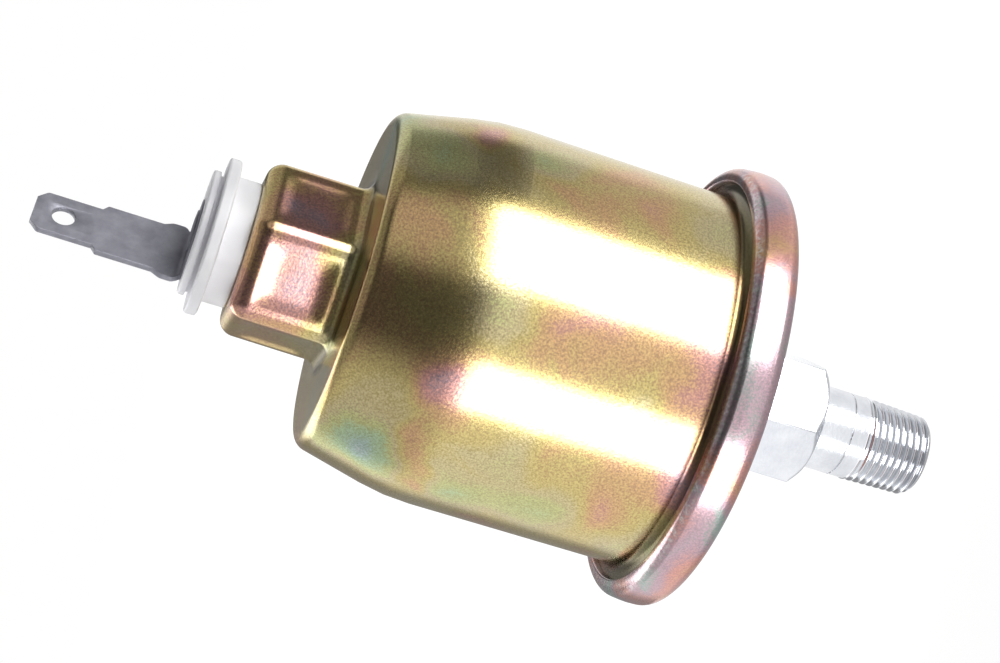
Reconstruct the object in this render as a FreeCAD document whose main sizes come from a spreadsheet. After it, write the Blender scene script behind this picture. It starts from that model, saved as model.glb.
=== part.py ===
import FreeCAD, Part
import math
import operator
import os
import Sketcher

# Oil pressure sender with one spade terminal.
# The axis stands on Z: the taper thread points down, the terminal points up, and the origin is the
# middle of the hexagon's lower face. The blade's flat side faces -X.

os.makedirs("parts", exist_ok=True)
doc = FreeCAD.newDocument("oil_pressure_sender")

# Driving sizes in millimetres and degrees
SIZES = {
    # fitting
    "hex_flats": 14.8,
    "hex_height": 13.5,
    "hex_turn": 7.8,
    "hex_chamfer_slope": 0.9,
    "collar_radius": 5.35,
    "collar_length": 4.7,
    "thread_radius": 5.14,
    "thread_length": 10.7,
    "thread_chamfer": 0.8,
    "port_radius": 1.7,
    "tenon_radius": 5.0,
    "stake_radius": 6.2,
    "stake_height": 0.6,
    "restrictor_radius": 2.4,
    "restrictor_length": 3.5,
    "restrictor_hole": 0.4,
    # pan and what its rolled rim clamps
    "pan_sheet": 0.8,
    "pan_radius": 27.9,
    "pan_bend": 1.2,
    "rim_bend": 0.9,
    "lip_width": 1.6,
    "seal_thick": 1.0,
    "seal_width": 5.5,
    "diaphragm_thick": 0.4,
    "plate_thick": 1.5,
    "plate_hole": 7.6,
    "rim_gap": 0.1,
    # can
    "flange_width": 3.2,
    "can_wall": 1.0,
    "can_height": 43.7,
    "can_taper": 2.9,
    "can_cone": 12.2,
    "can_end_bevel": 1.0,
    "can_foot_bend": 1.0,
    "nose_flats": 19.7,
    "nose_length": 12.6,
    "nose_turn": 30.0,
    "nose_corner": 2.3,
    "nose_end_bevel": 1.1,
    "nose_hole": 4.5,
    # terminal stack
    "spigot_gap": 0.1,
    "collar_disc_radius": 7.75,
    "collar_disc_height": 3.0,
    "skirt_radius": 9.65,
    "skirt_height": 1.5,
    "top_disc_radius": 7.7,
    "top_disc_height": 1.4,
    "groove_depth": 0.5,
    "groove_height": 0.5,
    "ring_seal_thick": 0.8,
    "ring_seal_width": 1.6,
    "inner_disc_radius": 7.0,
    "inner_disc_thick": 1.5,
    "washer_radius": 5.5,
    "washer_thick": 0.8,
    "stem_radius": 1.9,
    "head_radius": 3.2,
    "head_height": 1.0,
    "peen_radius": 2.6,
    "peen_height": 0.3,
    # spade terminal
    "tab_sheet": 0.8,
    "tab_width": 6.35,
    "tab_length": 7.7,
    "tab_point": 1.1,
    "tab_hole": 1.4,
    "tab_hole_back": 3.6,
    "tab_step": 0.6,
    "blade_width": 7.9,
    "blade_height": 19.4,
    "blade_offset": 4.45,
    "root_width": 9.1,
    "root_height": 4.2,
    "root_slope": 1.1,
    "foot_width": 8.0,
    "foot_sink": 0.6,
    "seat_gap": 0.1,
    "tab_bend": 0.5,
    # pressure train
    "piston_radius": 6.8,
    "piston_thick": 1.0,
    "push_radius": 1.75,
    "push_point": 0.9,
    "push_tip": 0.3,
    "push_gap": 0.08,
    "running_gap": 0.05,
    "spring_wire": 0.8,
    "spring_radius": 2.75,
    "spring_turns": 3.5,
    "spring_end_gap": 0.15,
    # bridge
    "bridge_sheet": 1.2,
    "bridge_height": 8.0,
    "bridge_span": 12.2,
    "bridge_foot": 4.8,
    "bridge_width": 8.8,
    "ear_width": 4.4,
    # lever
    "pivot_reach": 5.0,
    "pivot_rise": 2.6,
    "pin_radius": 0.9,
    "pin_proud": 0.4,
    "hub_radius": 1.5,
    "hub_wall": 0.8,
    "hub_end_gap": 0.1,
    "lever_thick": 1.2,
    "lever_arm_width": 2.6,
    "lever_arm_height": 13.0,
    "pad_height": 1.4,
    "pad_overhang": 1.6,
    "lever_gusset": 2.6,
    "screw_radius": 1.25,
    "screw_reach": 5.3,
    "screw_tail": 1.6,
    "slot_width": 0.6,
    "slot_depth": 0.6,
    "nut_turn": 30.0,
    "nut_flats": 4.8,
    "nut_height": 1.4,
    # wiper and resistor
    "wiper_sheet": 0.3,
    "wiper_width": 2.0,
    "wiper_lap": 4.0,
    "wiper_tip": 2.0,
    "wiper_rise": 5.2,
    "wiper_gap": 0.05,
    "small_rivet": 0.6,
    "small_rivet_head": 1.0,
    "small_rivet_height": 0.4,
    "card_offset": 6.4,
    "card_thick": 1.0,
    "card_gap": 6.4,
    "card_right": 3.6,
    "card_height": 7.0,
    "card_level": 26.0,
    "winding_margin": 2.8,
    "winding_right": 2.8,
    "winding_wire": 0.3,
    "winding_pitch": 0.9,
    "bracket_sheet": 1.2,
    "bracket_prong": 2.4,
    "bracket_foot": 4.6,
    "strip_sheet": 0.3,
    "strip_width": 3.2,
    "strip_centre": 1.8,
    "strip_lap": 4.5,
    "strip_knee": 58.0,
    # how far a cut runs past the piece
    "cut_margin": 1.0,
}

OPERATIONS = {"+": operator.add, "-": operator.sub, "*": operator.mul, "/": operator.truediv}
HEX_CORNER = 1 / math.cos(math.pi / 6)
SPRING_STEPS = 12


class Size:
    # A length with its formula in the sheet and its number in millimetres

    def __init__(self, formula, value):
        self.formula = formula
        self.value = value

    def __add__(self, other):
        return combined(self, "+", other)

    def __sub__(self, other):
        return combined(self, "-", other)

    def __mul__(self, other):
        return combined(self, "*", other)

    def __truediv__(self, other):
        return combined(self, "/", other)

    def __neg__(self):
        return combined(0, "-", self)


def as_size(number):
    if isinstance(number, Size):
        return number
    return Size("%.12g" % number, float(number))


def combined(left, sign, right):
    left = as_size(left)
    right = as_size(right)
    formula = "(%s %s %s)" % (left.formula, sign, right.formula)
    return Size(formula, OPERATIONS[sign](left.value, right.value))


sheet = doc.addObject("Spreadsheet::Sheet", "Sizes")
for row, (word, number) in enumerate(SIZES.items(), start=1):
    cell = "B%d" % row
    sheet.set("A%d" % row, word)
    sheet.set(cell, str(number))
    sheet.setAlias(cell, word)
doc.recompute()


def size(word):
    return Size("Sizes." + word, float(sheet.get(word)))


# Sketch and feature helpers

def new_body(label):
    body = doc.addObject("PartDesign::Body", label)
    body.Label = label
    return body


def new_sketch(body, name, plane, level=None):
    sketch = body.newObject("Sketcher::SketchObject", name)
    origin = [item for item in body.Origin.OriginFeatures if item.Role == plane]
    sketch.AttachmentSupport = [(origin[0], "")]
    sketch.MapMode = "FlatFace"
    if level is not None:
        sketch.setExpression("AttachmentOffset.Base.z", as_size(level).formula)
    return sketch


def hold(sketch, kind, where, value):
    # one measured constraint, tied to the sheet when the value comes from there
    value = as_size(value)
    index = sketch.addConstraint(Sketcher.Constraint(kind, *where, value.value))
    if "Sizes." in value.formula:
        sketch.setExpression("Constraints[%d]" % index, value.formula)


def arc_between(start, end, bend):
    # arc that turns left for a positive bend radius and right for a negative one
    chord = end - start
    side = FreeCAD.Vector(-chord.y, chord.x, 0)
    side.normalize()
    rise = math.sqrt(max(bend ** 2 - (chord.Length / 2) ** 2, 0))
    centre = (start + end) / 2 + side * math.copysign(rise, bend)
    first, last = (start, end) if bend > 0 else (end, start)
    angles = [math.atan2(p.y - centre.y, p.x - centre.x) for p in (first, last)]
    circle = Part.Circle(centre, FreeCAD.Vector(0, 0, 1), abs(bend))
    return Part.ArcOfCircle(circle, angles[0], angles[1])


def draw(sketch, corners):
    # closed outline; a corner is (x, y) or (x, y, bend radius of the arc to the next corner)
    spots = [FreeCAD.Vector(as_size(c[0]).value, as_size(c[1]).value, 0) for c in corners]
    bends = [as_size(c[2]) if len(c) == 3 else None for c in corners]
    count = len(corners)
    first = sketch.GeometryCount
    for index in range(count):
        start, end = spots[index], spots[(index + 1) % count]
        if bends[index] is None:
            sketch.addGeometry(Part.LineSegment(start, end), False)
        else:
            sketch.addGeometry(arc_between(start, end, bends[index].value), False)
    turned = [bend is not None and bend.value < 0 for bend in bends]
    heads = [2 if flag else 1 for flag in turned]
    tails = [1 if flag else 2 for flag in turned]
    for index in range(count):
        after = (index + 1) % count
        joint = (first + index, tails[index], first + after, heads[after])
        sketch.addConstraint(Sketcher.Constraint("Coincident", *joint))
    for index, corner in enumerate(corners):
        hold(sketch, "DistanceX", (-1, 1, first + index, heads[index]), corner[0])
        hold(sketch, "DistanceY", (-1, 1, first + index, heads[index]), corner[1])
        if bends[index] is not None:
            bend = bends[index] if bends[index].value > 0 else -bends[index]
            hold(sketch, "Radius", (first + index,), bend)
    return sketch


def draw_circle(sketch, across, up, radius):
    across, up, radius = as_size(across), as_size(up), as_size(radius)
    spot = FreeCAD.Vector(across.value, up.value, 0)
    circle = Part.Circle(spot, FreeCAD.Vector(0, 0, 1), radius.value)
    index = sketch.addGeometry(circle, False)
    hold(sketch, "DistanceX", (-1, 1, index, 3), across)
    hold(sketch, "DistanceY", (-1, 1, index, 3), up)
    hold(sketch, "Radius", (index,), radius)
    return sketch


def hexagon(flats, turn=0.0):
    # corners of a hexagon about the axis, the first one turned from +X by the given angle
    corner = flats * (HEX_CORNER / 2)
    angles = [math.radians(turn + 60 * step) for step in range(6)]
    return [(corner * math.cos(angle), corner * math.sin(angle)) for angle in angles]


def rectangle(left, low, right, high):
    return [(left, low), (right, low), (right, high), (left, high)]


def turned(body, name, corners, cut=False):
    # full turn about Z of an outline drawn as radius and height
    kind = "PartDesign::Groove" if cut else "PartDesign::Revolution"
    sketch = draw(new_sketch(body, name + "_profile", "XZ_Plane"), corners)
    feature = body.newObject(kind, name)
    feature.Profile = sketch
    feature.ReferenceAxis = (sketch, ["V_Axis"])
    feature.Angle = 360
    doc.recompute()
    return feature


def padded(body, name, sketch, length, centred=False, down=False):
    feature = body.newObject("PartDesign::Pad", name)
    feature.Profile = sketch
    feature.Midplane = centred
    feature.Reversed = down
    feature.setExpression("Length", as_size(length).formula)
    doc.recompute()
    return feature


def pocketed(body, name, sketch, length, centred=False, down=True):
    # cut that must take material away; it runs against the sketch normal when down is set
    feature = body.newObject("PartDesign::Pocket", name)
    feature.Profile = sketch
    feature.Midplane = centred
    feature.Reversed = not down
    feature.setExpression("Length", as_size(length).formula)
    before = feature.BaseFeature.Shape.Volume
    doc.recompute()
    if not feature.Shape.Volume < before:
        raise RuntimeError(name + " cuts nothing")
    return feature


def matching_edges(feature, test):
    edges = feature.Shape.Edges
    return ["Edge%d" % number for number, edge in enumerate(edges, start=1) if test(edge)]


def eased(body, name, feature, test, amount, bevel=False):
    # rounds the edges that pass the test, or bevels them
    names = matching_edges(feature, test)
    if not names:
        raise RuntimeError(name + " finds no edge")
    easing = body.newObject("PartDesign::Chamfer" if bevel else "PartDesign::Fillet", name)
    easing.Base = (feature, names)
    easing.setExpression("Size" if bevel else "Radius", as_size(amount).formula)
    doc.recompute()
    return easing


# Levels along the axis, from the thread end up

thread_end = -(size("collar_length") + size("thread_length"))
pan_level = size("hex_height")
seal_level = pan_level + size("pan_sheet")
diaphragm_level = seal_level + size("seal_thick")
plate_level = diaphragm_level + size("diaphragm_thick")
flange_level = plate_level + size("plate_thick")
lip_level = flange_level + size("can_wall")
rim_top = lip_level + size("pan_sheet")
can_end = flange_level + size("can_height")
cone_level = can_end - size("can_cone")
nose_end = can_end + size("nose_length")
nose_inside = nose_end - size("can_wall")
skirt_level = nose_end + size("collar_disc_height")
top_disc_level = skirt_level + size("skirt_height")
insulator_top = top_disc_level + size("top_disc_height")
foot_low = insulator_top - size("foot_sink")
foot_top = foot_low + size("tab_sheet")
blade_tip = foot_low + size("blade_height")
washer_top = nose_inside - size("inner_disc_thick")
washer_low = washer_top - size("washer_thick")
head_low = washer_low - size("head_height")
pan_inside = size("pan_radius") - size("pan_sheet")
clamped_radius = pan_inside - size("rim_gap")
can_radius = clamped_radius - size("flange_width")
can_end_radius = can_radius - size("can_taper")


def make_fitting():
    # hexagon, collar and thread blank in one turned and milled piece, riveted over inside the pan
    body = new_body("fitting")
    sketch = new_sketch(body, "fitting_hex_profile", "XY_Plane")
    draw(sketch, hexagon(size("hex_flats"), SIZES["hex_turn"]))
    padded(body, "fitting_hex", sketch, size("hex_height"))
    outside = size("hex_flats") * (HEX_CORNER / 2) + size("cut_margin")
    turned(body, "fitting_hex_chamfer", [
        (size("hex_flats") / 2, 0),
        (outside, 0),
        (outside, (outside - size("hex_flats") / 2) * size("hex_chamfer_slope")),
    ], cut=True)
    turned(body, "fitting_stem", [
        (0, thread_end),
        (size("thread_radius") - size("thread_chamfer"), thread_end),
        (size("thread_radius"), thread_end + size("thread_chamfer")),
        (size("thread_radius"), -size("collar_length")),
        (size("collar_radius"), -size("collar_length")),
        (size("collar_radius"), size("hex_height") / 2),
        (0, size("hex_height") / 2),
    ])
    turned(body, "fitting_rivet_end", [
        (0, size("hex_height") / 2),
        (size("tenon_radius"), size("hex_height") / 2),
        (size("tenon_radius"), seal_level),
        (size("stake_radius"), seal_level),
        (size("stake_radius"), seal_level + size("stake_height")),
        (0, seal_level + size("stake_height")),
    ])
    plug_seat = seal_level + size("stake_height") - size("restrictor_length")
    turned(body, "fitting_bore", [
        (0, thread_end),
        (size("port_radius"), thread_end),
        (size("port_radius"), plug_seat),
        (size("restrictor_radius"), plug_seat),
        (size("restrictor_radius"), seal_level + size("stake_height")),
        (0, seal_level + size("stake_height")),
    ], cut=True)
    return body


def make_restrictor():
    # brass plug with a fine hole that damps the oil's pulses
    body = new_body("restrictor_plug")
    top = seal_level + size("stake_height")
    low = top - size("restrictor_length")
    turned(body, "restrictor_turned", [
        (size("restrictor_hole"), low),
        (size("restrictor_radius"), low),
        (size("restrictor_radius"), top),
        (size("restrictor_hole"), top),
    ])
    return body


def make_pan():
    # pressed sheet pan whose rim is rolled over the can's flange
    body = new_body("base_pan")
    sheet_thick = size("pan_sheet")
    lip_inside = size("pan_radius") - size("lip_width")
    turned(body, "pan_pressed", [
        (size("tenon_radius"), pan_level),
        (size("pan_radius") - size("pan_bend"), pan_level),
        (size("pan_radius"), pan_level + size("pan_bend")),
        (size("pan_radius"), rim_top - size("rim_bend")),
        (size("pan_radius") - size("rim_bend"), rim_top),
        (lip_inside, rim_top),
        (lip_inside, lip_level),
        (pan_inside, lip_level),
        (pan_inside, pan_level + sheet_thick),
        (size("tenon_radius"), pan_level + sheet_thick),
    ])
    return body


def make_ring(label, inside, outside, low, high):
    body = new_body(label)
    turned(body, label + "_ring", rectangle(inside, low, outside, high))
    return body


def make_diaphragm():
    # flat disc of coated fabric, clamped round its edge
    body = new_body("diaphragm")
    turned(body, "diaphragm_disc", [
        (0, diaphragm_level),
        (clamped_radius, diaphragm_level),
        (clamped_radius, plate_level),
        (0, plate_level),
    ])
    return body


def make_can():
    # drawn cover: flange, cylinder, cone and a hexagonal nose, all one sheet
    body = new_body("cover_can")
    wall = size("can_wall")
    bevel = size("can_end_bevel")
    turned(body, "can_outside", [
        (0, flange_level),
        (clamped_radius, flange_level),
        (clamped_radius, lip_level),
        (can_radius + size("can_foot_bend"), lip_level),
        (can_radius, lip_level + size("can_foot_bend")),
        (can_radius, cone_level),
        (can_end_radius, can_end - bevel),
        (can_end_radius - bevel, can_end),
        (0, can_end),
    ])
    sketch = new_sketch(body, "can_nose_profile", "XY_Plane", can_end)
    draw(sketch, hexagon(size("nose_flats"), SIZES["nose_turn"]))
    nose = padded(body, "can_nose", sketch, size("nose_length"))

    def upright(edge):
        box = edge.BoundBox
        same_height = abs(box.ZLength - size("nose_length").value) < 0.001
        return same_height and abs(box.ZMin - can_end.value) < 0.001

    rounded = eased(body, "can_nose_corners", nose, upright, size("nose_corner"))

    def at_nose_end(edge):
        box = edge.BoundBox
        return box.ZLength < 0.001 and abs(box.ZMin - nose_end.value) < 0.001

    eased(body, "can_nose_end_bevel", rounded, at_nose_end, size("nose_end_bevel"), bevel=True)
    inside = can_radius - wall
    turned(body, "can_inside", [
        (0, flange_level),
        (inside, flange_level),
        (inside, cone_level),
        (can_end_radius - wall, can_end - wall),
        (0, can_end - wall),
    ], cut=True)
    sketch = new_sketch(body, "can_nose_inside_profile", "XY_Plane", can_end - wall)
    draw(sketch, hexagon(size("nose_flats") - wall * 2, SIZES["nose_turn"]))
    pocketed(body, "can_nose_inside", sketch, nose_inside - can_end + wall, down=False)
    sketch = new_sketch(body, "can_nose_hole_profile", "XY_Plane", nose_end)
    draw_circle(sketch, 0, 0, size("nose_hole"))
    pocketed(body, "can_nose_hole", sketch, wall + size("cut_margin"))
    return body


def make_outer_insulator():
    # white moulded bush: spigot through the nose, collar, skirt and top disc
    body = new_body("outer_insulator")
    spigot = size("nose_hole") - size("spigot_gap")
    recess = spigot + size("ring_seal_width")
    groove_top = top_disc_level + size("groove_height")
    neck = size("top_disc_radius") - size("groove_depth")
    turned(body, "insulator_turned", [
        (size("stem_radius"), washer_top),
        (spigot, washer_top),
        (spigot, nose_end + size("ring_seal_thick")),
        (recess, nose_end + size("ring_seal_thick")),
        (recess, nose_end),
        (size("collar_disc_radius"), nose_end),
        (size("collar_disc_radius"), skirt_level),
        (size("skirt_radius"), skirt_level),
        (size("skirt_radius"), top_disc_level),
        (neck, top_disc_level),
        (neck, groove_top),
        (size("top_disc_radius"), groove_top),
        (size("top_disc_radius"), insulator_top),
        (size("stem_radius"), insulator_top),
    ])
    # seat that keeps the terminal's foot from turning, round about the rivet
    sketch = new_sketch(body, "insulator_seat_profile", "XY_Plane", insulator_top)
    half = size("foot_width") / 2
    back = -(size("blade_offset") + size("tab_sheet"))
    draw(sketch, [(back, -half), (0, -half, half), (half, 0, half), (0, half), (back, half)])
    pocketed(body, "insulator_seat", sketch, size("foot_sink"))
    return body


def make_inner_insulator():
    return make_ring("inner_insulator", size("nose_hole"), size("inner_disc_radius"),
                     washer_top, nose_inside)


def make_ring_seal():
    spigot = size("nose_hole") - size("spigot_gap")
    return make_ring("ring_seal", spigot, spigot + size("ring_seal_width"),
                     nose_end, nose_end + size("ring_seal_thick"))


def make_contact_washer():
    return make_ring("contact_washer", size("stem_radius"), size("washer_radius"),
                     washer_low, washer_top)


def make_terminal_rivet():
    # contact rivet: head inside the can, stem through the insulators, peened over the foot
    body = new_body("terminal_rivet")
    peen_top = foot_top + size("peen_height")
    turned(body, "rivet_turned", [
        (0, head_low),
        (size("head_radius"), head_low),
        (size("head_radius"), washer_low),
        (size("stem_radius"), washer_low),
        (size("stem_radius"), foot_top),
        (size("peen_radius"), foot_top),
        (size("peen_radius") - size("peen_height") / 2, peen_top),
        (0, peen_top),
    ])
    return body


def make_terminal():
    # spade terminal bent from sheet: a standing blade on a riveted foot
    body = new_body("spade_terminal")
    sheet_thick = size("tab_sheet")
    back = -(size("blade_offset") + sheet_thick / 2)
    front = -(size("blade_offset") - sheet_thick / 2)
    edge = size("foot_width") / 2 - size("seat_gap")
    outer_bend = size("tab_bend") + sheet_thick
    sketch = new_sketch(body, "terminal_profile", "XZ_Plane")
    draw(sketch, [
        (back + outer_bend, foot_low),
        (edge, foot_low),
        (edge, foot_top),
        (front + size("tab_bend"), foot_top, -size("tab_bend")),
        (front, foot_top + size("tab_bend")),
        (front, blade_tip),
        (back, blade_tip),
        (back, foot_low + outer_bend, outer_bend),
    ])
    padded(body, "terminal_bent", sketch, size("root_width"), centred=True)
    # outside cuts leave the blade's outline: root, body and 6.35 mm tab
    tab_start = blade_tip - size("tab_length")
    root_top = foot_low + size("root_height")
    for side, word in ((1, "right"), (-1, "left")):
        sketch = new_sketch(body, "terminal_%s_profile" % word, "YZ_Plane")
        corners = [
            (size("root_width"), foot_low - sheet_thick),
            (edge, foot_low - sheet_thick),
            (edge, insulator_top),
            (size("root_width") / 2, insulator_top),
            (size("root_width") / 2, root_top - size("root_slope")),
            (size("blade_width") / 2, root_top),
            (size("blade_width") / 2, tab_start - size("tab_step")),
            (size("tab_width") / 2, tab_start),
            (size("tab_width") / 2, blade_tip - size("tab_point")),
            (size("tab_width") / 2 - size("tab_point"), blade_tip),
            (size("tab_width") / 2 - size("tab_point"), blade_tip + size("tab_point")),
            (size("root_width"), blade_tip + size("tab_point")),
        ]
        draw(sketch, [(as_size(y) * side, z) for y, z in corners])
        pocketed(body, "terminal_%s_cut" % word, sketch, size("blade_offset") * 4, centred=True)
        sketch = new_sketch(body, "terminal_foot_%s_profile" % word, "XY_Plane", foot_top)
        beyond = edge + size("cut_margin")
        draw(sketch, [
            (front + size("tab_bend"), edge * side),
            (0, edge * side, -edge * side),
            (edge, 0),
            (beyond, 0),
            (beyond, size("root_width") * side),
            (front + size("tab_bend"), size("root_width") * side),
        ])
        pocketed(body, "terminal_foot_%s_cut" % word, sketch, sheet_thick)
    sketch = new_sketch(body, "terminal_hole_profile", "YZ_Plane")
    draw_circle(sketch, 0, blade_tip - size("tab_hole_back"), size("tab_hole"))
    pocketed(body, "terminal_hole", sketch, size("blade_offset") * 4, centred=True)
    sketch = new_sketch(body, "terminal_rivet_hole_profile", "XY_Plane", foot_top)
    draw_circle(sketch, 0, 0, size("stem_radius"))
    pocketed(body, "terminal_rivet_hole", sketch, sheet_thick)
    return body


# Bridge levels over the clamped plate

bridge_low = flange_level + size("bridge_height") - size("bridge_sheet")
bridge_top = flange_level + size("bridge_height")
pivot_level = bridge_top + size("pivot_rise")
push_top = pivot_level - size("push_gap")
piston_top = plate_level + size("piston_thick")
ear_outside = size("bridge_width") / 2
ear_inside = ear_outside - size("bridge_sheet")
card_low = flange_level + size("card_level")
card_front = size("card_offset")
card_back = card_front + size("card_thick")
card_middle = card_low + size("card_height") / 2
bracket_back = card_back + size("bracket_sheet")
card_left = can_radius - size("can_wall") - size("card_gap")
winding_left = card_left - size("winding_margin")
prong_left_middle = -(card_left - size("bracket_prong") / 2)
prong_right_middle = -(size("winding_right") - size("bracket_prong") / 2 - size("wiper_gap"))
lever_top = pivot_level + size("lever_arm_height")


def make_plate():
    # clamped plate that carries the works; the feet above are spot-welded to it
    return make_ring("works_plate", size("plate_hole"), clamped_radius, plate_level, flange_level)


def make_pusher():
    # disc on the diaphragm with a guided stem that ends in a blunt point
    body = new_body("pusher")
    turned(body, "pusher_turned", [
        (0, plate_level),
        (size("piston_radius"), plate_level),
        (size("piston_radius"), piston_top),
        (size("push_radius"), piston_top),
        (size("push_radius"), push_top - size("push_point")),
        (size("push_tip"), push_top),
        (0, push_top),
    ])
    return body


def make_range_spring():
    # coil between the pusher's disc and the bridge, in short straight runs
    wire = size("spring_wire").value
    radius = size("spring_radius").value
    low = piston_top.value + size("spring_end_gap").value + wire / 2
    high = bridge_low.value - size("spring_end_gap").value - wire / 2
    count = round(SIZES["spring_turns"] * SPRING_STEPS)
    turn = 2 * math.pi / SPRING_STEPS
    rise = (high - low) / count
    reach = radius / math.cos(turn / 2)
    spots = [FreeCAD.Vector(reach * math.cos(step * turn), reach * math.sin(step * turn),
                            low + rise * step) for step in range(count + 1)]
    half = wire / 2
    section = [FreeCAD.Vector(reach + across, 0, low + up)
               for across, up in ((-half, -half), (half, -half), (half, half), (-half, half))]
    path = Part.makePolygon(spots)
    coil = path.makePipeShell([Part.makePolygon(section + section[:1])], True, False, 1)
    spring = doc.addObject("Part::Feature", "range_spring")
    spring.Label = "range_spring"
    spring.Shape = coil
    return spring


def make_bridge():
    # folded sheet bridge: two welded feet, a guide hole for the pusher and two ears for the pin
    body = new_body("bridge")
    sheet_thick = size("bridge_sheet")
    span = size("bridge_span")
    toe = span + size("bridge_foot")
    sketch = new_sketch(body, "bridge_profile", "XZ_Plane")
    draw(sketch, [
        (-toe, flange_level),
        (-(span - sheet_thick), flange_level),
        (-(span - sheet_thick), bridge_low),
        (span - sheet_thick, bridge_low),
        (span - sheet_thick, flange_level),
        (toe, flange_level),
        (toe, flange_level + sheet_thick),
        (span, flange_level + sheet_thick),
        (span, bridge_top),
        (-span, bridge_top),
        (-span, flange_level + sheet_thick),
        (-toe, flange_level + sheet_thick),
    ])
    padded(body, "bridge_folded", sketch, size("bridge_width"), centred=True)
    half = size("ear_width") / 2
    for side, word in ((1, "far"), (-1, "near")):
        # the sketch plane's normal points to -Y
        level = -ear_inside if side > 0 else ear_inside
        sketch = new_sketch(body, "ear_%s_profile" % word, "XZ_Plane", level)
        draw(sketch, [
            (-(size("pivot_reach") + half), bridge_low),
            (-(size("pivot_reach") - half), bridge_low),
            (-(size("pivot_reach") - half), pivot_level, half),
            (-size("pivot_reach"), pivot_level + half, half),
            (-(size("pivot_reach") + half), pivot_level),
        ])
        padded(body, "ear_" + word, sketch, sheet_thick, down=side > 0)
    sketch = new_sketch(body, "ear_hole_profile", "XZ_Plane")
    draw_circle(sketch, -size("pivot_reach"), pivot_level, size("pin_radius"))
    pocketed(body, "ear_hole", sketch, size("bridge_width") + size("cut_margin"), centred=True)
    sketch = new_sketch(body, "guide_hole_profile", "XY_Plane", bridge_top)
    draw_circle(sketch, 0, 0, size("push_radius") + size("running_gap"))
    draw_circle(sketch, size("screw_reach"), 0, size("screw_radius"))
    pocketed(body, "guide_hole", sketch, sheet_thick)
    return body


def make_lever():
    # flat bell crank: pad over the pusher and the stop screw, arm up to the wiper
    body = new_body("lever")
    reach = size("pivot_reach")
    half = size("lever_arm_width") / 2
    hub = size("hub_radius") + size("hub_wall")
    toe = size("screw_reach") + size("pad_overhang")
    gusset = size("lever_gusset")
    sketch = new_sketch(body, "lever_profile", "XZ_Plane")
    draw(sketch, [
        (hub - reach, pivot_level),
        (toe, pivot_level),
        (toe, pivot_level + size("pad_height")),
        (-reach + half + gusset, pivot_level + size("pad_height")),
        (-reach + half, pivot_level + size("pad_height") + gusset),
        (-reach + half, lever_top, half),
        (-reach, lever_top + half, half),
        (-reach - half, lever_top),
        (-reach - half, pivot_level + hub),
        (-reach - hub, pivot_level, hub),
        (-reach, pivot_level - hub, hub),
    ])
    padded(body, "lever_plate", sketch, size("lever_thick"), centred=True)
    sketch = new_sketch(body, "lever_hub_seat_profile", "XZ_Plane")
    draw_circle(sketch, -reach, pivot_level, size("hub_radius"))
    pocketed(body, "lever_hub_seat", sketch, size("lever_thick") * 2, centred=True)
    sketch = new_sketch(body, "lever_rivet_hole_profile", "XZ_Plane")
    draw_circle(sketch, -reach, lever_top, size("small_rivet"))
    pocketed(body, "lever_rivet_hole", sketch, size("lever_thick") * 2, centred=True)
    return body


def make_hub():
    # bush pressed into the lever plate; it turns on the pin between the ears
    body = new_body("lever_hub")
    sketch = new_sketch(body, "hub_profile", "XZ_Plane")
    draw_circle(sketch, -size("pivot_reach"), pivot_level, size("hub_radius"))
    draw_circle(sketch, -size("pivot_reach"), pivot_level, size("pin_radius") + size("running_gap"))
    padded(body, "hub_sleeve", sketch, (ear_inside - size("hub_end_gap")) * 2, centred=True)
    return body


def make_pin():
    # straight pivot pin pressed into both ears
    body = new_body("pivot_pin")
    sketch = new_sketch(body, "pin_shank_profile", "XZ_Plane")
    draw_circle(sketch, -size("pivot_reach"), pivot_level, size("pin_radius"))
    padded(body, "pin_shank", sketch, size("bridge_width") + size("pin_proud") * 2, centred=True)
    return body


def make_stop_screw():
    # slotted screw that sets where the lever rests
    body = new_body("stop_screw")
    low = bridge_low - size("screw_tail")
    top = pivot_level - size("push_gap")
    sketch = new_sketch(body, "screw_profile", "XY_Plane", low)
    draw_circle(sketch, size("screw_reach"), 0, size("screw_radius"))
    padded(body, "screw_shank", sketch, top - low)
    sketch = new_sketch(body, "screw_slot_profile", "XY_Plane", low)
    half = size("slot_width") / 2
    past = size("screw_radius") + size("cut_margin")
    draw(sketch, rectangle(size("screw_reach") - half, -past, size("screw_reach") + half, past))
    pocketed(body, "screw_slot", sketch, size("slot_depth"), down=False)
    return body


def make_lock_nut():
    body = new_body("lock_nut")
    sketch = new_sketch(body, "nut_profile", "XY_Plane", bridge_top)
    corners = hexagon(size("nut_flats"), SIZES["nut_turn"])
    draw(sketch, [(x + size("screw_reach"), y) for x, y in corners])
    draw_circle(sketch, size("screw_reach"), 0, size("screw_radius"))
    padded(body, "nut_hex", sketch, size("nut_height"))
    return body


def strip(thick, path):
    # outline of a bent strip: the path and the same path moved up or sideways by the sheet
    return path + [(x + dx, y + dy) for (x, y), (dx, dy) in zip(reversed(path), reversed(thick))]


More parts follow.
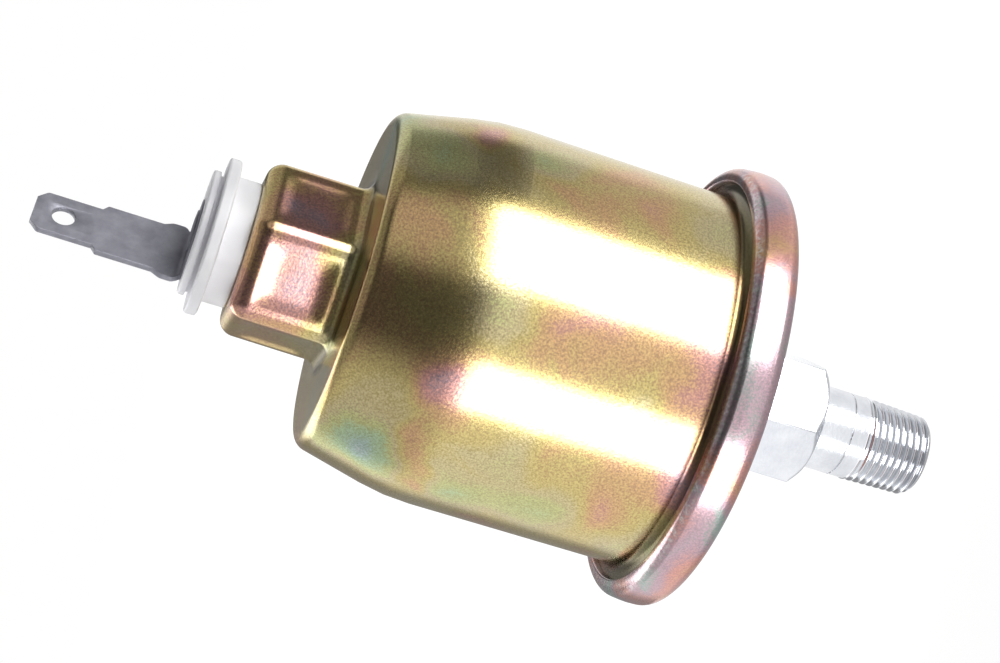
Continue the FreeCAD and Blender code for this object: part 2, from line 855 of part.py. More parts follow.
def make_wiper():
    # springy finger riveted to the lever's arm, its tip running on the winding
    body = new_body("wiper")
    sheet_thick = size("wiper_sheet")
    start = size("lever_thick") / 2
    tip = card_front - size("winding_wire") - size("wiper_gap") - sheet_thick
    low = lever_top - size("wiper_lap") / 2
    knee = lever_top + size("wiper_lap") / 2
    bend = knee + size("wiper_rise")
    path = [(start, low), (start, knee), (tip, bend), (tip, bend + size("wiper_tip"))]
    sketch = new_sketch(body, "wiper_profile", "YZ_Plane", -size("pivot_reach"))
    draw(sketch, strip([(sheet_thick, 0)] * 4, path))
    padded(body, "wiper_strip", sketch, size("wiper_width"), centred=True)
    sketch = new_sketch(body, "wiper_hole_profile", "XZ_Plane", -start)
    draw_circle(sketch, -size("pivot_reach"), lever_top, size("small_rivet"))
    pocketed(body, "wiper_hole", sketch, sheet_thick)
    return body


def cross_rivet(label, across, up, start, end, head_first=True):
    # small rivet along Y from start to end, with one head and one flush end
    body = new_body(label)
    sketch = new_sketch(body, label + "_shank_profile", "XZ_Plane", -start)
    draw_circle(sketch, across, up, size("small_rivet"))
    padded(body, label + "_shank", sketch, end - start, down=True)
    level = start if head_first else end
    sketch = new_sketch(body, label + "_head_profile", "XZ_Plane", -level)
    draw_circle(sketch, across, up, size("small_rivet_head"))
    padded(body, label + "_head", sketch, size("small_rivet_height"), down=not head_first)
    return body


def make_wiper_rivet():
    half = size("lever_thick") / 2
    return cross_rivet("wiper_rivet", -size("pivot_reach"), lever_top, -half,
                       half + size("wiper_sheet"))


def make_card():
    # flat insulating card that carries the resistance wire
    body = new_body("resistor_card")
    sketch = new_sketch(body, "card_profile", "XZ_Plane", -card_front)
    draw(sketch, rectangle(-card_left, card_low, size("card_right"),
                           card_low + size("card_height")))
    padded(body, "card_blank", sketch, size("card_thick"), down=True)
    sketch = new_sketch(body, "card_holes_profile", "XZ_Plane", -card_front)
    for across in (prong_left_middle, prong_right_middle, size("strip_centre")):
        draw_circle(sketch, across, card_middle, size("small_rivet"))
    pocketed(body, "card_holes", sketch, size("card_thick"))
    return body


def make_winding():
    # close turns of resistance wire round the card, shown as ridges
    body = new_body("resistance_winding")
    wire = size("winding_wire")
    groove = wire / 2
    span = winding_left - size("winding_right")
    turns = int(span.value / SIZES["winding_pitch"])
    step = span / turns
    low = card_low - wire
    high = card_low + size("card_height") + wire
    sketch = new_sketch(body, "winding_profile", "XY_Plane", low)
    front = [(-winding_left, card_front - wire)]
    for turn in range(1, turns):
        place = -winding_left + step * turn
        front += [(place - groove, card_front - wire), (place, card_front - wire + groove),
                  (place + groove, card_front - wire)]
    front += [(-size("winding_right"), card_front - wire)]
    draw(sketch, front + [(-size("winding_right"), card_back + wire),
                          (-winding_left, card_back + wire)])
    padded(body, "winding_ridges", sketch, high - low)
    sketch = new_sketch(body, "winding_inside_profile", "YZ_Plane")
    draw(sketch, rectangle(card_front, card_low, card_back, card_low + size("card_height")))
    pocketed(body, "winding_inside", sketch, card_left * 3, centred=True)
    return body


def make_bracket():
    # sheet bracket: welded foot, wide leg and two prongs that hold the card's ends
    body = new_body("card_bracket")
    sheet_thick = size("bracket_sheet")
    top = card_low + size("card_height")
    left = -card_left
    right = prong_right_middle + size("bracket_prong") / 2
    sketch = new_sketch(body, "bracket_profile", "YZ_Plane", (left + right) / 2)
    draw(sketch, [
        (card_back, flange_level),
        (bracket_back + size("bracket_foot"), flange_level),
        (bracket_back + size("bracket_foot"), flange_level + sheet_thick),
        (bracket_back, flange_level + sheet_thick),
        (bracket_back, top),
        (card_back, top),
    ])
    padded(body, "bracket_folded", sketch, right - left, centred=True)
    sketch = new_sketch(body, "bracket_window_profile", "XZ_Plane", -card_back)
    prong = size("bracket_prong")
    sill = card_low - prong
    draw(sketch, rectangle(left + prong, sill, right - prong, top + prong))
    pocketed(body, "bracket_window", sketch, sheet_thick * 2)
    sketch = new_sketch(body, "bracket_card_holes_profile", "XZ_Plane", -card_back)
    draw_circle(sketch, prong_left_middle, card_middle, size("small_rivet"))
    draw_circle(sketch, prong_right_middle, card_middle, size("small_rivet"))
    pocketed(body, "bracket_card_holes", sketch, sheet_thick * 2)
    return body


def make_card_rivet(label, across):
    return cross_rivet(label, across, card_middle, card_front, bracket_back)


def make_contact_strip():
    # springy strip from the winding's live end up to the terminal rivet's head
    body = new_body("contact_strip")
    sheet_thick = size("strip_sheet")
    half = size("strip_width") / 2
    low = card_middle - size("strip_lap") / 2
    face = card_front - sheet_thick
    pad = head_low - sheet_thick
    path = [(face, low), (face, size("strip_knee")), (half, pad), (-half, pad)]
    sketch = new_sketch(body, "strip_profile", "YZ_Plane", size("strip_centre"))
    draw(sketch, strip([(sheet_thick, 0), (sheet_thick, 0), (0, sheet_thick),
                        (0, sheet_thick)], path))
    padded(body, "strip_bent", sketch, size("strip_width"), centred=True)
    sketch = new_sketch(body, "strip_hole_profile", "XZ_Plane", -face)
    draw_circle(sketch, size("strip_centre"), card_middle, size("small_rivet"))
    pocketed(body, "strip_hole", sketch, sheet_thick)
    return body


def make_strip_rivet():
    return cross_rivet("strip_rivet", size("strip_centre"), card_middle,
                       card_front - size("strip_sheet"), card_back)


bodies = [
    make_fitting(),
    make_restrictor(),
    make_pan(),
    make_ring("seal_gasket", clamped_radius - size("seal_width"), clamped_radius,
              seal_level, diaphragm_level),
    make_diaphragm(),
    make_plate(),
    make_can(),
    make_outer_insulator(),
    make_inner_insulator(),
    make_ring_seal(),
    make_contact_washer(),
    make_terminal_rivet(),
    make_terminal(),
    make_pusher(),
    make_range_spring(),
    make_bridge(),
    make_lever(),
    make_hub(),
    make_pin(),
    make_stop_screw(),
    make_lock_nut(),
    make_wiper(),
    make_wiper_rivet(),
    make_card(),
    make_winding(),
    make_bracket(),
    make_card_rivet("card_rivet_left", prong_left_middle),
    make_card_rivet("card_rivet_right", prong_right_middle),
    make_contact_strip(),
    make_strip_rivet(),
]

doc.recompute()
for item in doc.Objects:
    if "Invalid" in item.State or "Error" in item.State:
        raise RuntimeError("%s did not rebuild" % item.Label)
for body in bodies:
    shape = body.Shape
    if shape.isNull() or not shape.isValid() or len(shape.Solids) != 1:
        raise RuntimeError("%s is not one sound solid" % body.Label)
    shape.exportStep("parts/%s.step" % body.Label)
    print("%-20s %10.2f mm3" % (body.Label, shape.Volume))
print("%d pieces" % len(bodies))
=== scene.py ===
import math
import bpy
import numpy as np
from mathutils import Euler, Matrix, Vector


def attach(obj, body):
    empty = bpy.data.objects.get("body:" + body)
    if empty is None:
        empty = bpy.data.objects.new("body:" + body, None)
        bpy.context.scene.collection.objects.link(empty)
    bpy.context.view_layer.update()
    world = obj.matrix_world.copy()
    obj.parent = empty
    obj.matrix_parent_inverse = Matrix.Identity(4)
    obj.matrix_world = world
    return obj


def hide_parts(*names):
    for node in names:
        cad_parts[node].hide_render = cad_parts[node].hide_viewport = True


# Oil pressure sender: yellow-passivated can with a rolled rim, bright fitting, white bush, spade tab.
# Lengths in the dictionaries are millimetres in the part's own frame, with the axis on Z.
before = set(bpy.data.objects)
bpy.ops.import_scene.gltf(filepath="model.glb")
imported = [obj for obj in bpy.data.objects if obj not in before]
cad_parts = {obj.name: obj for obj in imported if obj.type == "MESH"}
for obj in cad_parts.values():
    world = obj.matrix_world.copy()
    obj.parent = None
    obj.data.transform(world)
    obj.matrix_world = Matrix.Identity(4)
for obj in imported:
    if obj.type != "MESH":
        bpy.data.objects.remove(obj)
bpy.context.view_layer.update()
mm = 0.001
photoAzimuth = -46.5   # the camera's side of the part; swings are degrees round the axis from there


# Shape helpers

def bentProfile(corners, closed=True, guard=0.05, arcStep=11.0):
    # each corner is (radius, height, bend): the bend is an arc tangent to the runs on both sides, cut back
    # by bend * tan(turn / 2), in steps of about arcStep degrees, with a guard point before and after it so
    # that straight runs shade flat
    spots = np.array([corner[:2] for corner in corners], float)
    count = len(corners)
    parts = []
    for k in range(count):
        bend = corners[k][2] if len(corners[k]) == 3 else 0.0
        here = spots[k]
        if bend == 0 or (not closed and k in (0, count - 1)):
            parts.append(here[None])
            continue
        before = here - spots[k - 1]
        after = spots[(k + 1) % count] - here
        beforeLength, afterLength = np.linalg.norm(before), np.linalg.norm(after)
        before, after = before / beforeLength, after / afterLength
        turn = math.acos(float(np.clip(before @ after, -1, 1)))
        cut = bend * math.tan(turn / 2)
        side = after - before * (before @ after)
        side = side / np.linalg.norm(side)
        centre = here - before * cut + side * bend
        steps = max(3, int(math.ceil(math.degrees(turn) / arcStep)) + 1)
        swing = np.linspace(0, turn, steps)[:, None]
        arc = centre - side * bend * np.cos(swing) + before * bend * np.sin(swing)
        lead = here - before * min(cut + guard, beforeLength * 0.49 + cut * 0.5)
        trail = here + after * min(cut + guard, afterLength * 0.49 + cut * 0.5)
        parts.append(np.vstack([lead, arc, trail]))
    return np.vstack(parts)


def evenColumns(count):
    return np.linspace(0, 2 * np.pi, count, endpoint=False)


def cornerColumns(turn, reach, cornerCount, faceCount):
    # angles round the axis, closer together within reach degrees of each hexagon corner
    near = np.linspace(-reach, reach, cornerCount)
    far = np.linspace(reach, 60 - reach, faceCount + 2)[1:-1]
    sector = np.concatenate([near, far])
    return np.radians((turn + sector[None] + 60 * np.arange(6)[:, None]).ravel())


def hexRadius(angles, apothem, corner, turn):
    # distance from the axis to a hexagon with round corners: the flat's line apothem / cos, or the corner's
    # circle where the ray passes beyond the point where the two meet
    away = (angles - math.radians(turn) + np.pi / 6) % (np.pi / 3) - np.pi / 6
    fromFlat = np.pi / 6 - np.abs(away)
    centre = (apothem - corner) / math.cos(math.pi / 6)
    onCircle = np.sqrt(np.maximum(corner ** 2 - (centre * np.sin(away)) ** 2, 0))
    onFlat = apothem * np.tan(fromFlat) <= (apothem - corner) * math.tan(math.pi / 6)
    return np.where(onFlat, apothem / np.cos(fromFlat), centre * np.cos(away) + onCircle)


def aroundAxis(radius, height, angles):
    # rows of radius and height carried round the axis: x = r cos, y = r sin
    radius, height, angles = np.broadcast_arrays(radius, height, angles)
    return np.stack([radius * np.cos(angles), radius * np.sin(angles), height], -1)


def splitRows(profile):
    return profile[:, :1], profile[:, 1:]


def carryRound(rows, angles):
    # rows is a list of (radius, height), each by row or by row and column, and all are carried round in turn
    return np.vstack([aroundAxis(radius, height, angles[None]) for radius, height in rows])


def aroundPart(swing, distance, height=0.0):
    # a place in metres: swing from the camera's side, distance from the axis, height
    angle = math.radians(photoAzimuth + swing)
    return Vector((math.cos(angle) * distance, math.sin(angle) * distance, height)) * mm


def gridMesh(name, grid, ring=True, poles=()):
    # quads between neighbouring rows and columns; columns close on themselves, rows too on a ring, and
    # otherwise each pole is one point that closes an end. Rows that run counter-clockwise in radius and
    # height face outwards.
    rows, columns = grid.shape[:2]
    index = np.arange(rows * columns).reshape(rows, columns)
    beside = np.roll(index, -1, axis=1)
    low = slice(None) if ring else slice(0, rows - 1)
    above = np.roll(index, -1, axis=0)
    diagonal = np.roll(beside, -1, axis=0)
    quads = np.stack([index[low], beside[low], diagonal[low], above[low]], -1).reshape(-1, 4)
    points = grid.reshape(-1, 3)
    faces = quads.tolist()
    if len(poles):
        start = len(points)
        points = np.vstack([points, poles])
        first = np.stack([np.full(columns, start), beside[0], index[0]], -1)
        last = np.stack([index[-1], beside[-1], np.full(columns, start + 1)], -1)
        faces += first.tolist() + last.tolist()
    mesh = bpy.data.meshes.new(name)
    mesh.from_pydata((points * mm).tolist(), [], faces)
    mesh.shade_smooth()
    mesh.update()
    return mesh


def addPiece(name, mesh, material, nodes):
    piece = bpy.data.objects.new(name, mesh)
    bpy.context.scene.collection.objects.link(piece)
    mesh.materials.append(material)
    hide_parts(*nodes)
    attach(piece, "case")
    return piece


# Material helpers

def newGroup(name, inputs, outputs):
    # inputs are (name, value), outputs are (name, kind)
    tree = bpy.data.node_groups.new(name, "ShaderNodeTree")
    for label, value in inputs:
        kind = "NodeSocketColor" if isinstance(value, tuple) else "NodeSocketFloat"
        socket = tree.interface.new_socket(name=label, in_out="INPUT", socket_type=kind)
        socket.default_value = value
    for label, kind in outputs:
        tree.interface.new_socket(name=label, in_out="OUTPUT", socket_type="NodeSocket" + kind)
    return tree, tree.nodes.new("NodeGroupInput"), tree.nodes.new("NodeGroupOutput")


def setRamp(node, stops):
    ramp = node.color_ramp
    ramp.interpolation = "EASE"
    while len(ramp.elements) < len(stops):
        ramp.elements.new(0.5)
    for element, (place, colour) in zip(ramp.elements, stops):
        element.position = place
        element.color = (*colour, 1.0)


def put(tree, socket, value):
    # a socket takes a link from another socket, or a plain value
    if isinstance(value, bpy.types.NodeSocket):
        tree.links.new(value, socket)
    else:
        socket.default_value = value


def addNode(tree, kind, ordered=(), **values):
    # ordered values fill the inputs from the first one on; values with a leading capital are inputs by
    # name, and the others are properties
    node = tree.nodes.new(kind)
    for key, value in values.items():
        if key[0].isupper():
            put(tree, node.inputs[key.replace("_", " ")], value)
        else:
            setattr(node, key, value)
    for socket, value in zip(node.inputs, ordered):
        put(tree, socket, value)
    return node


def addMath(tree, operation, *values):
    return addNode(tree, "ShaderNodeMath", values, operation=operation).outputs[0]


def addVector(tree, operation, *values):
    # vector maths gives a vector, and a length, distance or dot product gives a number
    node = addNode(tree, "ShaderNodeVectorMath", values, operation=operation)
    return node.outputs["Value" if operation in ("LENGTH", "DISTANCE", "DOT_PRODUCT") else "Vector"]


def goBetween(tree, value, low, high, start=0.0, end=1.0, kind="LINEAR"):
    # goes from start to end while the value goes from low to high, and stays there outside
    return addNode(tree, "ShaderNodeMapRange", interpolation_type=kind, Value=value, From_Min=low,
                   From_Max=high, To_Min=start, To_Max=end).outputs[0]


def goSoftly(tree, value, low, high, start=0.0, end=1.0):
    return goBetween(tree, value, low, high, start, end, "SMOOTHSTEP")


def mixColours(tree, share, first, second, blend="MIX"):
    node = addNode(tree, "ShaderNodeMix", data_type="RGBA", blend_type=blend)
    for number, value in ((0, share), (6, first), (7, second)):
        put(tree, node.inputs[number], value)
    return node.outputs[2]


def objectPlace(tree):
    # object coordinates, so that a pattern stays on its piece
    return addNode(tree, "ShaderNodeTexCoord").outputs["Object"]


def heightOf(tree, place):
    return addNode(tree, "ShaderNodeSeparateXYZ", Vector=place).outputs["Z"]


def radiusOf(tree, place):
    # distance from the axis
    return addVector(tree, "LENGTH", addVector(tree, "MULTIPLY", place, (1.0, 1.0, 0.0)))


def objectNoise(tree, scale, detail, roughness=0.55, distortion=0.0, output="Fac"):
    # scale is per metre
    return addNode(tree, "ShaderNodeTexNoise", Vector=objectPlace(tree), Scale=scale, Detail=detail,
                   Roughness=roughness, Distortion=distortion).outputs[output]


def makeGrainGroup():
    # fine speckle: outputs roughness + spread * (noise - 0.5), and the noise as a height for the bump
    tree, given, made = newGroup("fineGrain", [("Roughness", 0.3), ("Spread", 0.1), ("Scale", 2500.0)],
                                 [("Roughness", "Float"), ("Height", "Float")])
    speckle = objectNoise(tree, given.outputs["Scale"], detail=4.0, roughness=0.65)
    centred = addMath(tree, "SUBTRACT", speckle, 0.5)
    put(tree, made.inputs["Roughness"], addMath(tree, "MULTIPLY_ADD", centred, given.outputs["Spread"],
                                                given.outputs["Roughness"]))
    put(tree, made.inputs["Height"], speckle)
    return tree


def makeToneGroup():
    # slow change between two colours, by noise steepened about its middle
    tree, given, made = newGroup("slowTone", [("Light", (1.0, 1.0, 1.0, 1.0)), ("Dark", (0.5, 0.5, 0.5, 1.0)),
                                              ("Scale", 150.0)], [("Color", "Color")])
    cloud = objectNoise(tree, given.outputs["Scale"], detail=5.0, roughness=0.6)
    put(tree, made.inputs["Color"], mixColours(tree, goBetween(tree, cloud, 0.35, 0.65),
                                               given.outputs["Light"], given.outputs["Dark"]))
    return tree


passivate = dict(
    patchDetail=2.5, patchWarp=1.2,
    speckleScale=4000.0, speckleNone=0.62, speckleFull=0.36,   # noise with no speckle and with a full one
    speckleDark=0.38, speckleShift=0.24,   # how much darker a full speckle is, and its colour's change
    bump=0.22, bumpDistance=0.00005, grainSpread=0.12, grainScale=2600.0,
    stops=[                                # one turn of the film's colours as it grows thicker
        (0.00, (0.66, 0.56, 0.31)),
        (0.12, (0.68, 0.55, 0.23)),
        (0.25, (0.72, 0.46, 0.24)),
        (0.38, (0.72, 0.38, 0.33)),
        (0.50, (0.58, 0.41, 0.46)),
        (0.62, (0.43, 0.55, 0.50)),
        (0.75, (0.47, 0.60, 0.37)),
        (0.88, (0.60, 0.60, 0.28)),
        (1.00, (0.66, 0.56, 0.31)),
    ],
)


def makeFilmGroup():
    # colour of the passivated film: the fraction of (thickness + shift + spread * (warped slow noise - 0.5)
    # + speckleShift * speckles) picks from one turn of colours, times (1 - speckles) times the painted shade
    # in the corners, where speckles go up to speckleDark
    tree, given, made = newGroup("filmColour", [("Scale", 52.0), ("Thickness", 0.1), ("Spread", 0.8),
                                                ("Shift", 0.0), ("Speckle", 1.0), ("PaintedShade", 1.0)],
                                 [("Color", "Color")])
    patches = objectNoise(tree, given.outputs["Scale"], passivate["patchDetail"], 0.5, passivate["patchWarp"])
    uneven = addMath(tree, "MULTIPLY_ADD", addMath(tree, "SUBTRACT", patches, 0.5), given.outputs["Spread"],
                     given.outputs["Thickness"])
    shifted = addMath(tree, "ADD", uneven, given.outputs["Shift"])
    speckle = objectNoise(tree, passivate["speckleScale"], detail=3.0, roughness=0.7)
    deep = goBetween(tree, speckle, passivate["speckleNone"], passivate["speckleFull"], 0.0,
                     -passivate["speckleDark"])
    strong = addMath(tree, "MULTIPLY", deep, given.outputs["Speckle"])
    turned = addMath(tree, "MULTIPLY_ADD", strong, -passivate["speckleShift"], shifted)
    film = addNode(tree, "ShaderNodeValToRGB", Fac=addMath(tree, "FRACT", turned))
    setRamp(film, passivate["stops"])
    # the speckles darken the film, and the painted shade darkens the corners at the can's and nose's feet
    speckledAndShaded = addMath(tree, "MULTIPLY", addMath(tree, "ADD", strong, 1.0), given.outputs["PaintedShade"])
    put(tree, made.inputs["Color"], mixColours(tree, 1.0, film.outputs["Color"], speckledAndShaded, "MULTIPLY"))
    return tree


filmPatches = dict(
    warp=11.0, warpScale=75.0,   # a noise pushes the patches' edges about
    canFootShadeLow=18.3, canFootShadeHigh=20.8, canFootShadeLevel=0.22,   # painted shade in the corner at the can's foot
    # and at the nose's foot, within a radius that fades out over a width
    noseFootLow=60.95, noseFootHigh=61.9, noseFootRadius=11.6, noseFootWidth=1.5, noseFootShade=0.40,
    # each patch: swing from the photographed side, distance from the axis, height, reach, change of thickness
    places=[
        (52, 22.0, 56.2, 10.0, -0.24), (66, 23.4, 51.0, 5.0, 0.34), (55, 23.8, 44.0, 9.0, -0.20),
        (54, 23.8, 31.0, 10.0, 0.16), (24, 22.1, 55.7, 9.0, 0.10), (8, 23.8, 45.0, 7.0, -0.14),
        (7, 23.8, 33.0, 11.0, 0.20), (6, 23.8, 24.0, 8.0, 0.18), (-58, 23.8, 22.0, 8.0, -0.20),
        (-34, 21.5, 58.2, 8.0, -0.08), (-54, 22.0, 56.2, 10.0, -0.46), (-42, 23.6, 50.5, 4.0, 0.24),
        (-52, 23.7, 49.0, 4.0, 0.26), (-62, 23.8, 48.0, 4.0, 0.26), (-54, 23.8, 40.5, 9.0, -0.28),
        (-57, 23.8, 33.0, 7.0, -0.22), (-49, 23.8, 25.5, 8.0, 0.10), (-22, 23.7, 49.5, 6.0, 0.26),
        (-26, 23.8, 20.0, 6.0, 0.20), (-8, 23.8, 20.0, 6.0, 0.26), (10, 23.8, 20.0, 6.0, 0.26),
        (28, 23.8, 20.0, 6.0, 0.20), (-13, 10.0, 67.5, 12.0, 0.34), (46, 10.0, 67.5, 10.0, 0.20),
        (-76, 10.0, 67.0, 7.0, 0.12), (-40, 11.8, 61.6, 6.0, -0.40), (0, 11.8, 61.6, 6.0, -0.40),
        (32, 11.8, 61.6, 5.0, -0.30), (74, 17.0, 60.9, 9.0, -0.42), (-66, 17.0, 60.9, 7.0, -0.16),
        (150, 23.8, 36.0, 12.0, -0.26), (200, 23.0, 52.0, 10.0, 0.30), (110, 23.8, 28.0, 9.0, 0.20),
    ],
)


def makePatchGroup():
    # change of the can's film thickness: the sum of soft round patches, change * (1 - smooth(distance /
    # reach)), measured from coordinates that a noise pushes about; painted shade darkens the corners at the
    # feet of the can and of its nose
    tree, given, made = newGroup("filmPatches", [], [("Shift", "Float"), ("PaintedShade", "Float")])
    warp = filmPatches["warp"] * mm
    push = objectNoise(tree, filmPatches["warpScale"], detail=2.0, output="Color")
    place = objectPlace(tree)
    pushed = addVector(tree, "MULTIPLY_ADD", push, (warp, warp, warp), place)
    total = None
    for swing, radius, height, reach, change in filmPatches["places"]:
        centre = aroundPart(swing, radius, height) + Vector((warp, warp, warp)) / 2
        patch = goSoftly(tree, addVector(tree, "DISTANCE", pushed, centre), 0.0, reach * mm, change, 0.0)
        total = addMath(tree, "ADD", total, patch) if total else patch
    height, radius = heightOf(tree, place), radiusOf(tree, place)
    # painted shade: darker towards the corner at the can's foot, and at the nose's foot
    canFoot = goSoftly(tree, height, filmPatches["canFootShadeLow"] * mm, filmPatches["canFootShadeHigh"] * mm,
                       filmPatches["canFootShadeLevel"])
    low, high, inner = (filmPatches["noseFoot" + end] * mm for end in ("Low", "High", "Radius"))
    outer, shade = inner + filmPatches["noseFootWidth"] * mm, filmPatches["noseFootShade"]
    noseFoot = addMath(tree, "MAXIMUM", goSoftly(tree, radius, inner, outer, shade),
                       goSoftly(tree, height, low, high, shade))
    put(tree, made.inputs["Shift"], total)
    # the painted shade of both feet goes out as one mask
    put(tree, made.inputs["PaintedShade"], addMath(tree, "MULTIPLY", canFoot, noseFoot))
    return tree


grainGroup = makeGrainGroup()
toneGroup = makeToneGroup()
filmGroup = makeFilmGroup()
patchGroup = makePatchGroup()


def placeGroup(tree, group, **values):
    node = tree.nodes.new("ShaderNodeGroup")
    node.node_tree = group
    for key, value in values.items():
        put(tree, node.inputs[key], value)
    return node


def startMaterial(name):
    material = bpy.data.materials.new(name)
    material.use_nodes = True
    return material, material.node_tree, material.node_tree.nodes["Principled BSDF"]


def paintMatt(surface, tone, roughness=0.9):
    surface.inputs["Base Color"].default_value = (tone, tone, tone, 1.0)
    surface.inputs["Roughness"].default_value = roughness


def newMaterial(name, metallic=0.0, bump=0.02, bumpDistance=0.0001):
    # a principled surface with a bump node ready for a height
    material, tree, surface = startMaterial(name)
    surface.inputs["Metallic"].default_value = metallic
    relief = addNode(tree, "ShaderNodeBump", Strength=bump, Distance=bumpDistance)
    put(tree, surface.inputs["Normal"], relief.outputs["Normal"])
    return material, tree, surface, relief


def linkGrain(tree, surface, relief, roughness, spread, scale):
    # the grain's roughness goes to the surface and its height to the bump
    grain = placeGroup(tree, grainGroup, Roughness=roughness, Spread=spread, Scale=scale)
    put(tree, surface.inputs["Roughness"], grain.outputs["Roughness"])
    put(tree, relief.inputs["Height"], grain.outputs["Height"])


def makeFilmMaterial(name, roughness, scale, thickness, spread, speckle, patched=False):
    # metal in the film's colour, where patched with the patches' shift and painted corner shade, with grain
    # over it
    material, tree, surface, relief = newMaterial(name, metallic=1.0, bump=passivate["bump"],
                                                  bumpDistance=passivate["bumpDistance"])
    film = placeGroup(tree, filmGroup, Scale=scale, Thickness=thickness, Spread=spread, Speckle=speckle)
    if patched:
        for label, mask in placeGroup(tree, patchGroup).outputs.items():
            put(tree, film.inputs[label], mask)
    put(tree, surface.inputs["Base Color"], film.outputs["Color"])
    linkGrain(tree, surface, relief, roughness, passivate["grainSpread"], passivate["grainScale"])
    return material


def makeToneMaterial(name, light, dark, metallic, roughness, spread=0.15, toneScale=150.0,
                     grainScale=2500.0, bump=0.08):
    # two tones that change slowly into each other, with grain over them
    material, tree, surface, relief = newMaterial(name, metallic=metallic, bump=bump)
    tone = placeGroup(tree, toneGroup, Light=(*light, 1.0), Dark=(*dark, 1.0), Scale=toneScale)
    put(tree, surface.inputs["Base Color"], tone.outputs["Color"])
    linkGrain(tree, surface, relief, roughness, spread, grainScale)
    return material


finishes = {
    "canFilm": makeFilmMaterial("canFilm", 0.20, 60.0, 0.09, 0.70, 1.0, patched=True),
    "rimFilm": makeFilmMaterial("rimFilm", 0.22, 75.0, 0.42, 0.75, 0.6),
    "brightPlate": makeToneMaterial("brightPlate", (0.88, 0.90, 0.94), (0.76, 0.78, 0.83), 1.0, 0.15,
                                    spread=0.10, toneScale=300.0),
    "dullTin": makeToneMaterial("dullTin", (0.34, 0.34, 0.39), (0.24, 0.24, 0.28), 0.40, 0.50,
                                spread=0.25, toneScale=420.0, grainScale=1500.0, bump=0.25),
    "whiteMoulding": makeToneMaterial("whiteMoulding", (0.90, 0.90, 0.92), (0.86, 0.86, 0.90), 0.0, 0.42,
                                      spread=0.15, toneScale=200.0, grainScale=1800.0),
    "brassTurned": makeToneMaterial("brassTurned", (0.80, 0.60, 0.26), (0.66, 0.47, 0.18), 1.0, 0.28),
    "plainSteel": makeToneMaterial("plainSteel", (0.56, 0.57, 0.58), (0.44, 0.45, 0.46), 1.0, 0.34),
    "springBronze": makeToneMaterial("springBronze", (0.74, 0.48, 0.28), (0.60, 0.36, 0.20), 1.0, 0.26),
    "sealRubber": makeToneMaterial("sealRubber", (0.035, 0.035, 0.035), (0.02, 0.02, 0.02), 0.0, 0.62),
    "coatedFabric": makeToneMaterial("coatedFabric", (0.09, 0.06, 0.05), (0.06, 0.04, 0.035), 0.0, 0.7,
                                     grainScale=3500.0, bump=0.4),
    "cardLaminate": makeToneMaterial("cardLaminate", (0.28, 0.14, 0.06), (0.20, 0.09, 0.04), 0.0, 0.5),
    "resistanceWire": makeToneMaterial("resistanceWire", (0.60, 0.55, 0.48), (0.48, 0.42, 0.36), 1.0, 0.3),
}
print("finishes made:", len(finishes))


def coverFinish(finishName, name, colour, makeShare):
    # a copy of a finish with a colour laid over its own, by the share that makeShare works out in its tree
    material = finishes[finishName].copy()
    material.name = name
    tree = material.node_tree
    base = tree.nodes["Principled BSDF"].inputs["Base Color"]
    put(tree, base, mixColours(tree, makeShare(tree), base.links[0].from_socket, (*colour, 1.0)))
    return material


# Cover can: flange, side, shoulder and hexagonal nose drawn from one sheet

can = dict(
    flangeLow=17.2, flangeTop=18.2, flangeRadius=27.0,
    sideRadius=23.8, footBend=1.3,
    taperStart=48.7, taperBend=28.0,
    endRadius=20.9, endHeight=60.9, endBend=1.8,
    wall=1.0, holeRadius=4.5,
    noseTurn=30.0, noseFlats=19.7, noseLength=12.6, noseCorner=2.3, noseDraft=0.5,
    noseFoot=1.4, noseEndBend=2.0, leastCorner=0.25,
    faceDish=0.26, dishLow=1.7, dishHigh=10.5, dishHalf=0.72,
    holeEase=0.15, holeCut=0.04, endLand=2.6,   # the hole's soft edge, and the flat end about the nose's foot
    landSteps=(0.03, 0.3, 0.65, 1.0),      # rows from the nose's end bend to the hole
    edgeBend=0.1, insideBend=0.4, insideCorner=1.3,
    cornerReach=12.0, cornerCount=37, faceCount=31, noseRows=38, bendRows=9,
)


def noseRows(angles):
    # outside of the nose: the outline moves out by the foot's arc, up the drafted side, and in by the end's
    # arc; each face is a panel sunk by dish * (1 - (across / half)^6)^2 * (1 - (up / half)^6)^2
    foot, bend, length = can["noseFoot"], can["noseEndBend"], can["noseLength"]
    swing = np.linspace(0, np.pi / 2, can["bendRows"])
    straight = np.linspace(foot, length - bend, can["noseRows"])[1:-1]
    rise = np.concatenate([foot - foot * np.cos(swing), straight,
                           length - bend + bend * np.sin(swing)])[:, None]
    shift = np.concatenate([foot - foot * np.sin(swing), 0 * straight,
                            bend * np.cos(swing) - bend])[:, None]
    draft = math.tan(math.radians(can["noseDraft"])) * (rise - length / 2)
    apothem = can["noseFlats"] / 2 + shift - draft
    corner = np.maximum(can["noseCorner"] + shift, can["leastCorner"])
    radius = hexRadius(angles[None], apothem, corner, can["noseTurn"])
    away = (angles[None] - math.radians(can["noseTurn"]) + np.pi / 6) % (np.pi / 3) - np.pi / 6
    across = np.tan(np.pi / 6 - np.abs(away)) / math.tan(math.pi / 6) / can["dishHalf"]
    up = (rise - (can["dishLow"] + can["dishHigh"]) / 2) / ((can["dishHigh"] - can["dishLow"]) / 2)
    hollow = np.clip(1 - across ** 6, 0, 1) ** 2 * np.clip(1 - up ** 6, 0, 1) ** 2
    return radius - can["faceDish"] * hollow, can["endHeight"] + rise


